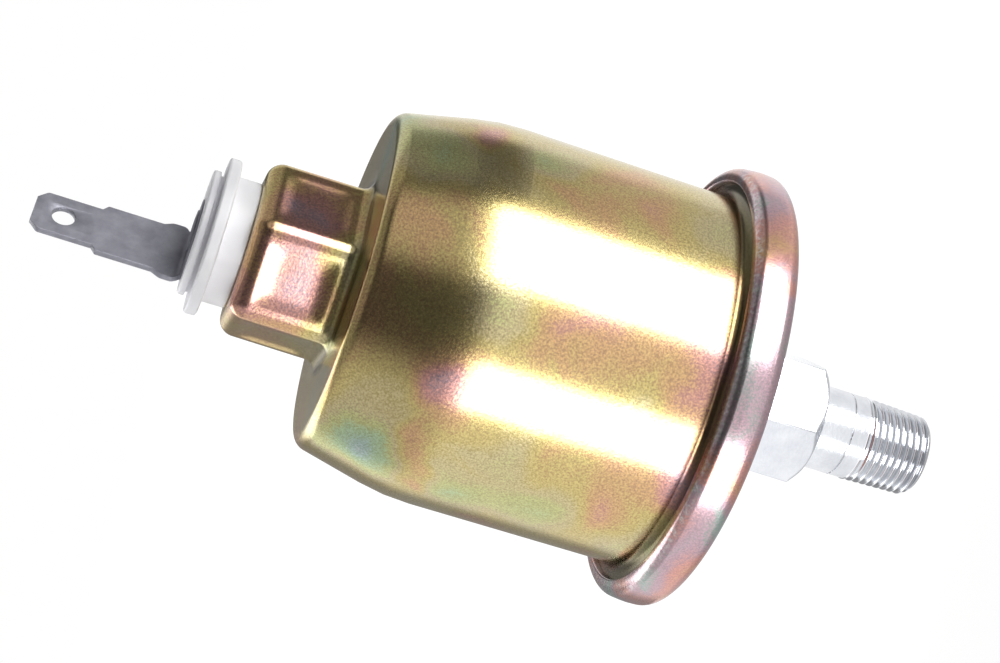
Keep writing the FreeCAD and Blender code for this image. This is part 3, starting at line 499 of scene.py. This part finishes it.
def makeCan():
    # rows of the sheet from the flange up the side and the nose, over the land into the hole, and back down
    # inside one thickness in, carried round the axis; the hexagon's rows depend on the angle
    angles = cornerColumns(can["noseTurn"], can["cornerReach"], can["cornerCount"], can["faceCount"])
    side = bentProfile([
        (can["sideRadius"] - can["wall"], can["flangeLow"], can["insideBend"]),
        (can["flangeRadius"], can["flangeLow"], can["edgeBend"]),
        (can["flangeRadius"], can["flangeTop"], can["edgeBend"]),
        (can["sideRadius"], can["flangeTop"], can["footBend"]),
        (can["sideRadius"], can["taperStart"], can["taperBend"]),
        (can["endRadius"], can["endHeight"], can["endBend"]),
        (can["noseFlats"] / 2 + can["noseFoot"] + can["endLand"], can["endHeight"]),
    ], closed=False)
    noseRadius, noseHeight = noseRows(angles)
    top = can["endHeight"] + can["noseLength"]
    hole, ease, cut = can["holeRadius"], can["holeEase"], can["holeCut"]
    share = np.array(can["landSteps"])[:, None]
    landRadius = noseRadius[-1:] * (1 - share) + (hole + ease) * share
    holeRows = np.array([(hole + cut, top - cut), (hole, top - ease), (hole, top - can["wall"])])
    insideEnd = can["endHeight"] - can["wall"]
    insideHex = hexRadius(angles[None], np.full((3, 1), can["noseFlats"] / 2 - can["wall"]),
                          can["insideCorner"], can["noseTurn"])
    insideHexHeight = np.array([top - can["wall"], top - can["wall"] - 0.05, insideEnd])[:, None]
    insideSide = np.array([
        (can["endRadius"] - can["wall"], insideEnd),
        (can["sideRadius"] - can["wall"], can["taperStart"]),
    ])
    rows = [
        splitRows(side),
        (noseRadius, noseHeight),
        (landRadius, np.full_like(share, top)),
        splitRows(holeRows),
        (insideHex, insideHexHeight),
        splitRows(insideSide),
    ]
    mesh = gridMesh("coverCan", carryRound(rows, angles))
    addPiece("coverCan", mesh, finishes["canFilm"], ["cover_can"])


# Base pan with the rolled rim

pan = dict(
    holeRadius=5.0, low=13.5, top=19.0, sheet=0.8, radius=27.9,
    lowBend=1.4, rimBend=1.4, lipRadius=25.7, lipBend=0.3, lipLow=18.2,
    edgeBend=0.1, lipEdge=0.04, insideBend=0.4,
    crownHeight=16.0, crownBend=9.0, lowDrop=0.16, topDrop=0.34,   # the rim's side is a little barrelled
    # pale spots along the rim's top corner: partly wear, partly a painted highlight
    wearHighlightLow=18.0, wearHighlightHigh=18.5, wearHighlightScale=1700.0, wearHighlightNone=0.46, wearHighlightFull=0.68, wearHighlightShare=0.75,
    wearHighlightColour=(0.80, 0.80, 0.78),
)


def makeRimMaterial():
    # the rim's film, with pale spots where noise is high along the rim's top corner: partly wear, partly a
    # painted highlight along the rim's top bend and the lip's edge
    def wearHighlightShare(tree):
        corner = goBetween(tree, heightOf(tree, objectPlace(tree)), pan["wearHighlightLow"] * mm, pan["wearHighlightHigh"] * mm)
        spots = objectNoise(tree, pan["wearHighlightScale"], detail=5.0, roughness=0.75)
        wearAndHighlight = goBetween(tree, spots, pan["wearHighlightNone"], pan["wearHighlightFull"], 0.0, pan["wearHighlightShare"])
        return addMath(tree, "MULTIPLY", corner, wearAndHighlight)

    return coverFinish("rimFilm", "wearHighlightRimFilm", pan["wearHighlightColour"], wearHighlightShare)


def makePan():
    # the bent section of the pan with its rim rolled over the can's flange, carried round the axis
    radius, low, top = pan["radius"], pan["low"], pan["top"]
    inside = radius - pan["sheet"]
    profile = bentProfile([
        (pan["holeRadius"], low, pan["edgeBend"]),
        (radius - pan["lowDrop"], low, pan["lowBend"]),
        (radius, pan["crownHeight"], pan["crownBend"]),
        (radius - pan["topDrop"], top, pan["rimBend"]),
        (pan["lipRadius"], top, pan["lipBend"]),
        (pan["lipRadius"], pan["lipLow"], pan["lipEdge"]),
        (inside, pan["lipLow"], pan["edgeBend"]),
        (inside, low + pan["sheet"], pan["insideBend"]),
        (pan["holeRadius"], low + pan["sheet"], pan["edgeBend"]),
    ])
    mesh = gridMesh("basePan", carryRound([splitRows(profile)], evenColumns(360)))
    addPiece("basePan", mesh, makeRimMaterial(), ["base_pan"])


# Fitting: hexagon, collar and right-handed taper thread with the oil port up its middle

fitting = dict(
    hexTurn=7.8, hexFlats=14.8, hexHeight=13.5, hexCorner=0.22,
    chamferSlope=0.9, chamferCut=0.03, chamferOver=1.05, chamferRows=15,
    topReach=1.0, topSlope=1.4, topEase=0.25, topRows=5,
    collarRadius=5.35, collarLength=4.7, plainRadius=5.32, threadStart=-6.9, threadEnd=-15.4,
    pitch=0.94, threadDepth=0.58, crestRadius=5.40, taper=1 / 32, endRadius=4.5,
    lineDepth=0.07, portRadius=1.7, portFlare=0.3,
    rootLow=4.58, rootHigh=5.00, rootShade=0.50, rootShadeColour=(0.03, 0.03, 0.035),   # painted shade, darker to the root
    rootFrom=0.02, rootFull=0.3,           # and only above the end face
    tenonRadius=5.0, panSheet=0.8, stakeRadius=6.2, stakeHeight=0.6,
    plugRadius=2.4, plugLength=3.5,
    rowsPerPitch=20, ridgeSlope=1.30, ridgeStart=0.14, cornerReach=1.6, cornerCount=13, faceCount=26,
)


def threadRows(angles):
    # one helix: the crest climbs one pitch for each turn. Depth follows a V with flattened crest and root,
    # fades in over one pitch at the collar, and the end is cut by a 45 degree cone
    low, high = fitting["threadEnd"], fitting["threadStart"]
    count = int((high - low) / fitting["pitch"] * fitting["rowsPerPitch"])
    height = np.linspace(low, high, count)[:, None]
    phase = (height / fitting["pitch"] - angles[None] / (2 * np.pi)) % 1.0
    ridge = np.clip(np.abs(2 * phase - 1) * fitting["ridgeSlope"] - fitting["ridgeStart"], 0, 1)
    ridge = ridge * ridge * (3 - 2 * ridge) * 0.5 + ridge * 0.5
    fade = np.clip((high - height) / fitting["pitch"], 0, 1)
    crest = fitting["crestRadius"] - fitting["taper"] * (high - height)
    radius = crest - fitting["threadDepth"] * (1 - ridge) * fade
    cone = fitting["endRadius"] + height - low
    return np.minimum(radius, cone), height


def hexRows(angles):
    # hexagon prism whose lower corners are turned off by a cone, and its upper ones a little: the least of
    # the prism's radius and the two cones' at each height
    size = fitting["hexFlats"] / 2
    chamfer = (size / math.cos(math.pi / 6) - size) * fitting["chamferSlope"]
    lowRows = np.linspace(0.0, chamfer * fitting["chamferOver"], fitting["chamferRows"])
    highRows = fitting["hexHeight"] - np.linspace(fitting["topEase"], 0.0, fitting["topRows"])
    rise = np.concatenate([lowRows, [fitting["hexHeight"] / 2], highRows])[:, None]
    prism = hexRadius(angles[None], np.full_like(rise, size), fitting["hexCorner"], fitting["hexTurn"])
    lowCone = size - fitting["chamferCut"] + rise / fitting["chamferSlope"]
    highCone = size + fitting["topReach"] + (fitting["hexHeight"] - rise) * fitting["topSlope"]
    return np.minimum(np.minimum(prism, lowCone), highCone), rise


def makeFittingMaterial():
    # bright plate with painted shade in the thread's roots: darker by the distance from the axis, above the
    # end face
    def rootShadeShare(tree):
        place = objectPlace(tree)
        depth = goBetween(tree, radiusOf(tree, place), fitting["rootLow"] * mm, fitting["rootHigh"] * mm,
                          1 - fitting["rootShade"], 0.0)
        above = goBetween(tree, heightOf(tree, place), (fitting["threadEnd"] + fitting["rootFrom"]) * mm,
                          (fitting["threadEnd"] + fitting["rootFull"]) * mm)
        return addMath(tree, "MULTIPLY", depth, above)

    return coverFinish("brightPlate", "threadedPlate", fitting["rootShadeColour"], rootShadeShare)


def makeFitting():
    # rows of the end face, thread, neck, hexagon, tenon and bore, carried round the axis in turn
    angles = cornerColumns(fitting["hexTurn"], fitting["cornerReach"], fitting["cornerCount"],
                           fitting["faceCount"])
    port, flare = fitting["portRadius"], fitting["portFlare"]
    end = fitting["threadEnd"]
    collar, plain = fitting["collarRadius"], fitting["plainRadius"]
    line = -fitting["collarLength"]
    depth = fitting["lineDepth"]
    endFace = bentProfile([(port, end + flare + 1.0), (port, end + flare, 0.08), (port + flare, end, 0.08),
                           (fitting["endRadius"] - 0.02, end)], closed=False)
    neck = bentProfile([
        (fitting["crestRadius"] + 0.01, fitting["threadStart"] + 0.02),
        (fitting["crestRadius"] - depth, fitting["threadStart"] + 0.10, 0.03),
        (plain, fitting["threadStart"] + 0.22, 0.05),
        (plain, line - 0.10, 0.04),
        (plain - depth, line, 0.03),
        (collar, line + 0.12, 0.05),
        (collar, 0.0, 0.25),
        (fitting["hexFlats"] / 2 - 0.15, 0.0),
    ], closed=False)
    top = fitting["hexHeight"]
    stakeLow = top + fitting["panSheet"]
    stakeTop = stakeLow + fitting["stakeHeight"]
    plugSeat = stakeTop - fitting["plugLength"]
    upper = bentProfile([
        (fitting["tenonRadius"], top, 0.05),
        (fitting["tenonRadius"], stakeLow, 0.05),
        (fitting["stakeRadius"], stakeLow, 0.1),
        (fitting["stakeRadius"], stakeTop, 0.3),
        (fitting["plugRadius"], stakeTop, 0.1),
        (fitting["plugRadius"], plugSeat, 0.05),
        (port, plugSeat, 0.05),
    ])
    rows = [splitRows(endFace), threadRows(angles), splitRows(neck), hexRows(angles), splitRows(upper)]
    mesh = gridMesh("fittingTurned", carryRound(rows, angles))
    addPiece("fittingTurned", mesh, makeFittingMaterial(), ["fitting"])


# White bush through the nose: collar, skirt and top disc

bush = dict(
    boreRadius=1.9, low=71.0, noseEnd=73.5, spigotRadius=4.4, recessRadius=6.0, recessTop=74.3,
    collarRadius=7.75, skirtLow=76.5, skirtRadius=9.65, skirtTop=78.0,
    neckRadius=7.2, neckTop=78.5, topRadius=7.7, top=79.4,
)


def makeBush():
    # one turned section with small bends at its corners, carried round the axis
    profile = bentProfile([
        (bush["boreRadius"], bush["low"], 0.05),
        (bush["spigotRadius"], bush["low"], 0.2),
        (bush["spigotRadius"], bush["recessTop"], 0.1),
        (bush["recessRadius"], bush["recessTop"], 0.1),
        (bush["recessRadius"], bush["noseEnd"], 0.1),
        (bush["collarRadius"], bush["noseEnd"], 0.25),
        (bush["collarRadius"], bush["skirtLow"], 0.15),
        (bush["skirtRadius"], bush["skirtLow"], 0.35),
        (bush["skirtRadius"], bush["skirtTop"], 0.30),
        (bush["neckRadius"], bush["skirtTop"], 0.12),
        (bush["neckRadius"], bush["neckTop"], 0.05),
        (bush["topRadius"], bush["neckTop"], 0.18),
        (bush["topRadius"], bush["top"], 0.30),
        (bush["boreRadius"], bush["top"], 0.05),
    ])
    mesh = gridMesh("outerBush", carryRound([splitRows(profile)], evenColumns(300)))
    addPiece("outerBush", mesh, finishes["whiteMoulding"], ["outer_insulator"])


# Contact rivet, peened over the terminal's foot

rivet = dict(headLow=69.2, headTop=70.2, headRadius=3.2, stemRadius=1.9, footTop=79.6,
             peenRadius=2.6, peenTop=79.9)


def makeRivet():
    # head, stem and peened end as one section, carried round the axis and closed by a point at each end
    profile = bentProfile([
        (0.05, rivet["headLow"]),
        (rivet["headRadius"], rivet["headLow"], 0.15),
        (rivet["headRadius"], rivet["headTop"], 0.1),
        (rivet["stemRadius"], rivet["headTop"], 0.05),
        (rivet["stemRadius"], rivet["footTop"], 0.03),
        (rivet["peenRadius"], rivet["footTop"], 0.05),
        (rivet["peenRadius"] - 0.1, rivet["peenTop"] - 0.08, 0.1),
        (rivet["peenRadius"] * 0.6, rivet["peenTop"], 2.0),
        (0.05, rivet["peenTop"]),
    ], closed=False)
    poles = np.array([(0, 0, rivet["headLow"]), (0, 0, rivet["peenTop"])])
    mesh = gridMesh("contactRivet", carryRound([splitRows(profile)], evenColumns(96)), ring=False,
                    poles=poles)
    addPiece("contactRivet", mesh, finishes["dullTin"], ["terminal_rivet"])


# Spade terminal: one sheet, foot bent up into the blade, with the tab's latch hole

terminal = dict(
    sheet=0.8, footLow=78.8, bladeX=-4.45, bend=0.5, tip=98.2, edge=0.10,
    footHalf=3.9, rootHalf=4.55, bladeHalf=3.95, tabHalf=3.175, tipHalf=2.075,
    rootTop=83.0, rootSlope=1.1, tabStart=90.5, tabStep=0.6, tipPoint=1.1,
    toeHalf=0.12, rootStart=0.68, rootRise=0.75, bendRows=14, endSoft=0.8,
    holeRadius=1.4, holeBack=3.6, holeFlare=0.12, punchReach=2.0, punchOver=0.01,
)


def sheetPath(t):
    # middle of the sheet by its length t from the toe: straight foot, quarter bend, straight blade
    half = terminal["sheet"] / 2
    bend = terminal["bend"] + half
    flat = terminal["footHalf"] - (terminal["bladeX"] + bend)
    swing = np.clip((t - flat) / bend, 0, np.pi / 2)
    up = np.maximum(t - flat - bend * np.pi / 2, 0)
    x = terminal["footHalf"] - np.minimum(t, flat) - bend * np.sin(swing)
    z = terminal["footLow"] + half + bend * (1 - np.cos(swing)) + up
    return x, z, swing


def makeTerminal():
    # a rounded rectangle as wide as the blank and as thick as the sheet is carried along the bent path;
    # the blank is round about the rivet, flares at the root, and steps in to the tab
    foot, root, blade, tab = (terminal[key] for key in ("footHalf", "rootHalf", "bladeHalf", "tabHalf"))
    bend = terminal["bend"] + terminal["sheet"] / 2
    flat = foot - (terminal["bladeX"] + bend)
    quarter = bend * np.pi / 2
    straight = flat + quarter - (terminal["footLow"] + terminal["sheet"] / 2 + bend)
    rootStart = flat + quarter * terminal["rootStart"]
    rootTop = terminal["rootTop"] + straight
    tabStart = terminal["tabStart"] + straight
    tip = terminal["tip"] + straight
    outline = bentProfile([
        (terminal["toeHalf"], 0.0),
        (foot, 0.0, foot - 0.14),
        (foot, rootStart, 0.3),
        (root, rootStart + terminal["rootRise"], 0.7),
        (root, rootTop - terminal["rootSlope"], 1.2),
        (blade, rootTop, 0.3),
        (blade, tabStart - terminal["tabStep"], 0.1),
        (tab, tabStart, 0.1),
        (tab, tip - terminal["tipPoint"], 0.6),
        (terminal["tipHalf"], tip),
    ], closed=False)
    outline = outline[np.append(True, np.diff(outline[:, 1]) > 1e-4)]
    bendRows = flat + np.linspace(-0.05, quarter + 0.05, terminal["bendRows"])
    along = np.union1d(outline[:, 1], bendRows)[:, None]
    half = np.interp(along, outline[:, 1], outline[:, 0])
    x, z, swing = sheetPath(along)
    edge, thick = terminal["edge"], terminal["sheet"] / 2
    corner = np.linspace(0, np.pi / 2, 4)[None]
    flatParts = np.array([[0.985, 0.6, 0.2, -0.2, -0.6, -0.985]])
    # one loop of the section: across the blank, and out along the sheet's normal
    cornerAcross = half + edge * (np.cos(corner) - 1)
    cornerOut = thick + edge * (np.sin(corner) - 1) + 0 * half
    faceAcross = (half - edge) * flatParts
    faceOut = thick + 0 * faceAcross
    across = np.hstack([cornerAcross, faceAcross, -cornerAcross[:, ::-1],
                        -cornerAcross, -faceAcross, cornerAcross[:, ::-1]])
    out = np.hstack([cornerOut, faceOut, cornerOut[:, ::-1], -cornerOut, -faceOut, -cornerOut[:, ::-1]])
    out[[0, -1]] *= terminal["endSoft"]   # the sheared ends are a little soft
    grid = np.stack([x + out * np.sin(swing), across, z + out * np.cos(swing)], -1)
    poles = np.array([grid[0].mean(axis=0), grid[-1].mean(axis=0)])
    mesh = gridMesh("spadeTerminal", grid, ring=False, poles=poles)
    piece = addPiece("spadeTerminal", mesh, finishes["dullTin"], ["spade_terminal"])
    punchHole(piece)


def punchHole(piece):
    # the latch hole is cut by a round punch that flares at both faces of the sheet
    radius, flare = terminal["holeRadius"], terminal["holeFlare"]
    half, reach = terminal["sheet"] / 2, terminal["punchReach"]
    outside = half + terminal["punchOver"]
    offset = np.array([-reach, -outside, -half + flare, half - flare, outside, reach])[:, None]
    swell = np.array([flare, flare, 0, 0, flare, flare])[:, None]
    angles = evenColumns(64)[None]
    centreZ = terminal["tip"] - terminal["holeBack"]
    spots = np.stack([terminal["bladeX"] + offset + 0 * angles, (radius + swell) * np.cos(angles),
                      centreZ + (radius + swell) * np.sin(angles)], -1)
    ends = np.array([(terminal["bladeX"] - reach, 0, centreZ), (terminal["bladeX"] + reach, 0, centreZ)])
    punch = bpy.data.objects.new("punch", gridMesh("punch", spots, ring=False, poles=ends))
    bpy.context.scene.collection.objects.link(punch)
    cut = piece.modifiers.new("latchHole", "BOOLEAN")
    cut.operation = "DIFFERENCE"
    cut.solver = "EXACT"
    cut.object = punch
    graph = bpy.context.evaluated_depsgraph_get()
    shaped = bpy.data.meshes.new_from_object(piece.evaluated_get(graph), depsgraph=graph)
    piece.modifiers.clear()
    piece.data = shaped
    bpy.data.objects.remove(punch)
    shaped.shade_smooth()
    shaped.set_sharp_from_angle(angle=math.radians(50))


makeCan()
makePan()
makeFitting()
makeBush()
makeRivet()
makeTerminal()
print("outside pieces made")


# Finishes of the pieces that stay as the frame has them

innerFinishes = dict(
    restrictor_plug="brassTurned", seal_gasket="sealRubber", diaphragm="coatedFabric",
    works_plate="plainSteel", inner_insulator="whiteMoulding", ring_seal="sealRubber",
    contact_washer="brassTurned", pusher="brassTurned", range_spring="plainSteel", bridge="brassTurned",
    lever="brassTurned", lever_hub="brassTurned", pivot_pin="plainSteel", stop_screw="plainSteel",
    lock_nut="plainSteel", wiper="springBronze", wiper_rivet="brassTurned", resistor_card="cardLaminate",
    resistance_winding="resistanceWire", card_bracket="plainSteel", card_rivet_left="brassTurned",
    card_rivet_right="brassTurned", contact_strip="springBronze", strip_rivet="brassTurned",
)
for nodeName, finishName in innerFinishes.items():
    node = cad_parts[nodeName]
    node.data.materials.clear()
    node.data.materials.append(finishes[finishName])
print("inner pieces finished:", len(innerFinishes))


# Studio: floor, world, lamps, boards and camera

studio = dict(
    cameraPlace=(169.593, -179.504, 87.582), cameraTurn=(57.5604, 69.6202, 12.7126),
    lens=73.965, sensor=36.0,
    floorHeight=-100.0, floorSize=8000.0, floorTone=0.80, floorGlow=1.1,
    mirrorGlow=0.50, mirrorReach=(110.0, 340.0),   # what metal mirrors of the paper close under the part
    shadeShare=0.2, shadeReach=(150.0, 320.0),   # how much of the shade the paper shows, and how far out
    roomDark=0.08, boardTone=0.04, boardFade=70.0,
    # pale walls of the room: swing, height angle, where they start and are full (cosines), light
    walls=[(180, 0, 0.30, 0.75, 0.75), (-95, 0, 0.30, 0.85, 0.62), (46, 12, 0.86, 0.985, 0.50),
           (105, 32, 0.82, 0.97, 0.34), (0, 90, 0.70, 0.97, 0.22)],
    # a dark opening behind the part
    opening=(178, 19, 0.940, 0.985, 0.88),
)
softBoxes = dict(
    upperBox=dict(swing=45.2, distance=300.0, width=234.0, low=-98.0, high=57.0, glow=7.6,
                  fill=6.9, tilt=0.0),
    lowerBox=dict(swing=-35.5, distance=300.0, width=148.0, low=-98.0, high=30.0, glow=7.0,
                  fill=6.7, tilt=0.0),
    topBox=dict(swing=-150.0, distance=500.0, width=500.0, low=200.0, high=600.0, glow=1.8,
                fill=5.0, tilt=0.4),
)
flags = dict(
    upperFlag=dict(swing=98.0, distance=300.0, width=380.0, low=-99.0, high=120.0, glowLow=0.66,
                   glowHigh=0.09, turnLow=-32.0, turnHigh=30.0),
    rearFlag=dict(swing=-155.0, distance=300.0, width=310.0, low=-99.0, high=200.0, glowLow=0.28,
                  glowHigh=0.24, turnLow=0.0, turnHigh=100.0),
)


def addStage(name, corners, material):
    mesh = bpy.data.meshes.new(name)
    mesh.from_pydata([tuple(corner) for corner in corners], [], [tuple(range(len(corners)))])
    mesh.materials.append(material)
    item = bpy.data.objects.new(name, mesh)
    bpy.context.scene.collection.objects.link(item)
    return item


def makeFloor():
    # pale paper; to the camera, to metal and to glass it glows white, less where the part shades it, and
    # from below it is clear
    size, height = studio["floorSize"] / 2 * mm, studio["floorHeight"] * mm
    material, tree, surface = startMaterial("floorPaper")
    paintMatt(surface, studio["floorTone"])
    light = addNode(tree, "ShaderNodeLightPath").outputs
    shiny = addMath(tree, "MAXIMUM", light["Is Camera Ray"], light["Is Glossy Ray"])
    seen = addMath(tree, "MAXIMUM", shiny, light["Is Transmission Ray"])
    away = addVector(tree, "LENGTH", objectPlace(tree))
    near, far = (length * mm for length in studio["mirrorReach"])
    under = goBetween(tree, away, near, far, studio["mirrorGlow"], studio["floorGlow"])
    strength = addNode(tree, "ShaderNodeMix", (light["Is Camera Ray"],), data_type="FLOAT")
    put(tree, strength.inputs[2], under)
    put(tree, strength.inputs[3], studio["floorGlow"])
    glow = addNode(tree, "ShaderNodeEmission", Strength=strength.outputs[0])
    near, far = (length * mm for length in studio["shadeReach"])
    share = addMath(tree, "MULTIPLY", seen, goBetween(tree, away, near, far, 1 - studio["shadeShare"]))
    paper = addNode(tree, "ShaderNodeMixShader", (share, surface.outputs[0], glow.outputs[0]))
    clear = addNode(tree, "ShaderNodeBsdfTransparent")
    side = addNode(tree, "ShaderNodeNewGeometry")
    whole = addNode(tree, "ShaderNodeMixShader", (side.outputs["Backfacing"], paper.outputs[0],
                                                  clear.outputs[0]))
    put(tree, tree.nodes["Material Output"].inputs["Surface"], whole.outputs[0])
    addStage("floor", [(-size, -size, height), (size, -size, height), (size, size, height),
                       (-size, size, height)], material)


def makeWorld():
    # a dark room over the camera, with pale walls behind the part and at its sides; the camera sees white
    world = bpy.data.worlds.new("studioRoom")
    bpy.context.scene.world = world
    world.use_nodes = True
    tree = world.node_tree
    sky = tree.nodes["Background"]
    ray = addNode(tree, "ShaderNodeTexCoord").outputs["Generated"]

    def wall(swing, rise, start, end, low, high):
        # value that goes from low to high where the ray turns towards the given swing and height angle
        flat = aroundPart(swing, math.cos(math.radians(rise)) / mm)
        facing = addVector(tree, "DOT_PRODUCT", ray, flat + Vector((0, 0, math.sin(math.radians(rise)))))
        return goSoftly(tree, facing, start, end, low, high)

    room = studio["roomDark"]
    for swing, rise, start, end, light in studio["walls"]:
        room = addMath(tree, "ADD", wall(swing, rise, start, end, 0.0, light), room)
    swing, rise, start, end, share = studio["opening"]
    opened = addMath(tree, "MULTIPLY", room, wall(swing, rise, start, end, 1.0, 1.0 - share))
    light = addNode(tree, "ShaderNodeLightPath")
    sky.inputs["Color"].default_value = (1.0, 1.0, 1.0, 1.0)
    put(tree, sky.inputs["Strength"], addMath(tree, "MAXIMUM", light.outputs["Is Camera Ray"], opened))


def makeLamps():
    # each box is one lamp that shiny surfaces mirror, and one, less bright, that lights the matt ones
    for boxName, box in softBoxes.items():
        for part in ("glow", "fill"):
            name = boxName + part.capitalize()
            middle = (box["low"] + box["high"]) / 2
            lamp = bpy.data.lights.new(name, "AREA")
            lamp.shape = "RECTANGLE"
            lamp.size, lamp.size_y = box["width"] * mm, (box["high"] - box["low"]) * mm
            lamp.energy = box[part] * math.pi * lamp.size * lamp.size_y
            holder = bpy.data.objects.new(name, lamp)
            holder.location = aroundPart(box["swing"], box["distance"], middle)
            aim = aroundPart(box["swing"], -1.0, -box["tilt"])
            holder.rotation_euler = aim.to_track_quat("-Z", "Y").to_euler()
            holder.visible_camera = False
            holder.visible_diffuse = part == "fill"
            holder.visible_glossy = part == "glow"
            bpy.context.scene.collection.objects.link(holder)


def makeFlags():
    # boards beside the part, unseen by the camera, with an even dim light for the metal to mirror: the light
    # goes from low to high between two heights, and the board fades to clear over its ends and its top
    soft = studio["boardFade"] * mm
    for name, board in flags.items():
        half, top = board["width"] / 2 * mm, board["high"] * mm
        material, tree, surface = startMaterial(name)
        paintMatt(surface, studio["boardTone"])
        surface.inputs["Emission Strength"].default_value = 1.0
        place = objectPlace(tree)
        height = heightOf(tree, place)
        glow = goSoftly(tree, height, board["turnLow"] * mm, board["turnHigh"] * mm, board["glowLow"],
                        board["glowHigh"])
        along = addVector(tree, "DOT_PRODUCT", place, aroundPart(board["swing"] + 90, 1.0 / mm))
        ends = goSoftly(tree, addMath(tree, "ABSOLUTE", along), half - soft, half, 1.0, 0.0)
        solid = addMath(tree, "MULTIPLY", ends, goSoftly(tree, height, top - soft, top, 1.0, 0.0))
        put(tree, surface.inputs["Emission Color"], glow)
        put(tree, surface.inputs["Alpha"], solid)
        middle = aroundPart(board["swing"], board["distance"])
        side = aroundPart(board["swing"] + 90, board["width"] / 2)
        low, high = Vector((0, 0, board["low"] * mm)), Vector((0, 0, top))
        item = addStage(name, [middle - side + low, middle + side + low, middle + side + high,
                               middle - side + high], material)
        item.visible_camera = False


def makeCamera():
    lens = bpy.data.cameras.new("camera")
    lens.lens, lens.sensor_width = studio["lens"], studio["sensor"]
    camera = bpy.data.objects.new("camera", lens)
    camera.location = Vector(studio["cameraPlace"]) * mm
    camera.rotation_euler = Euler([math.radians(angle) for angle in studio["cameraTurn"]], "XYZ")
    bpy.context.scene.collection.objects.link(camera)
    bpy.context.scene.camera = camera


makeFloor()
makeWorld()
makeLamps()
makeFlags()
makeCamera()
bpy.context.scene.view_settings.view_transform = "Standard"
print("studio made")
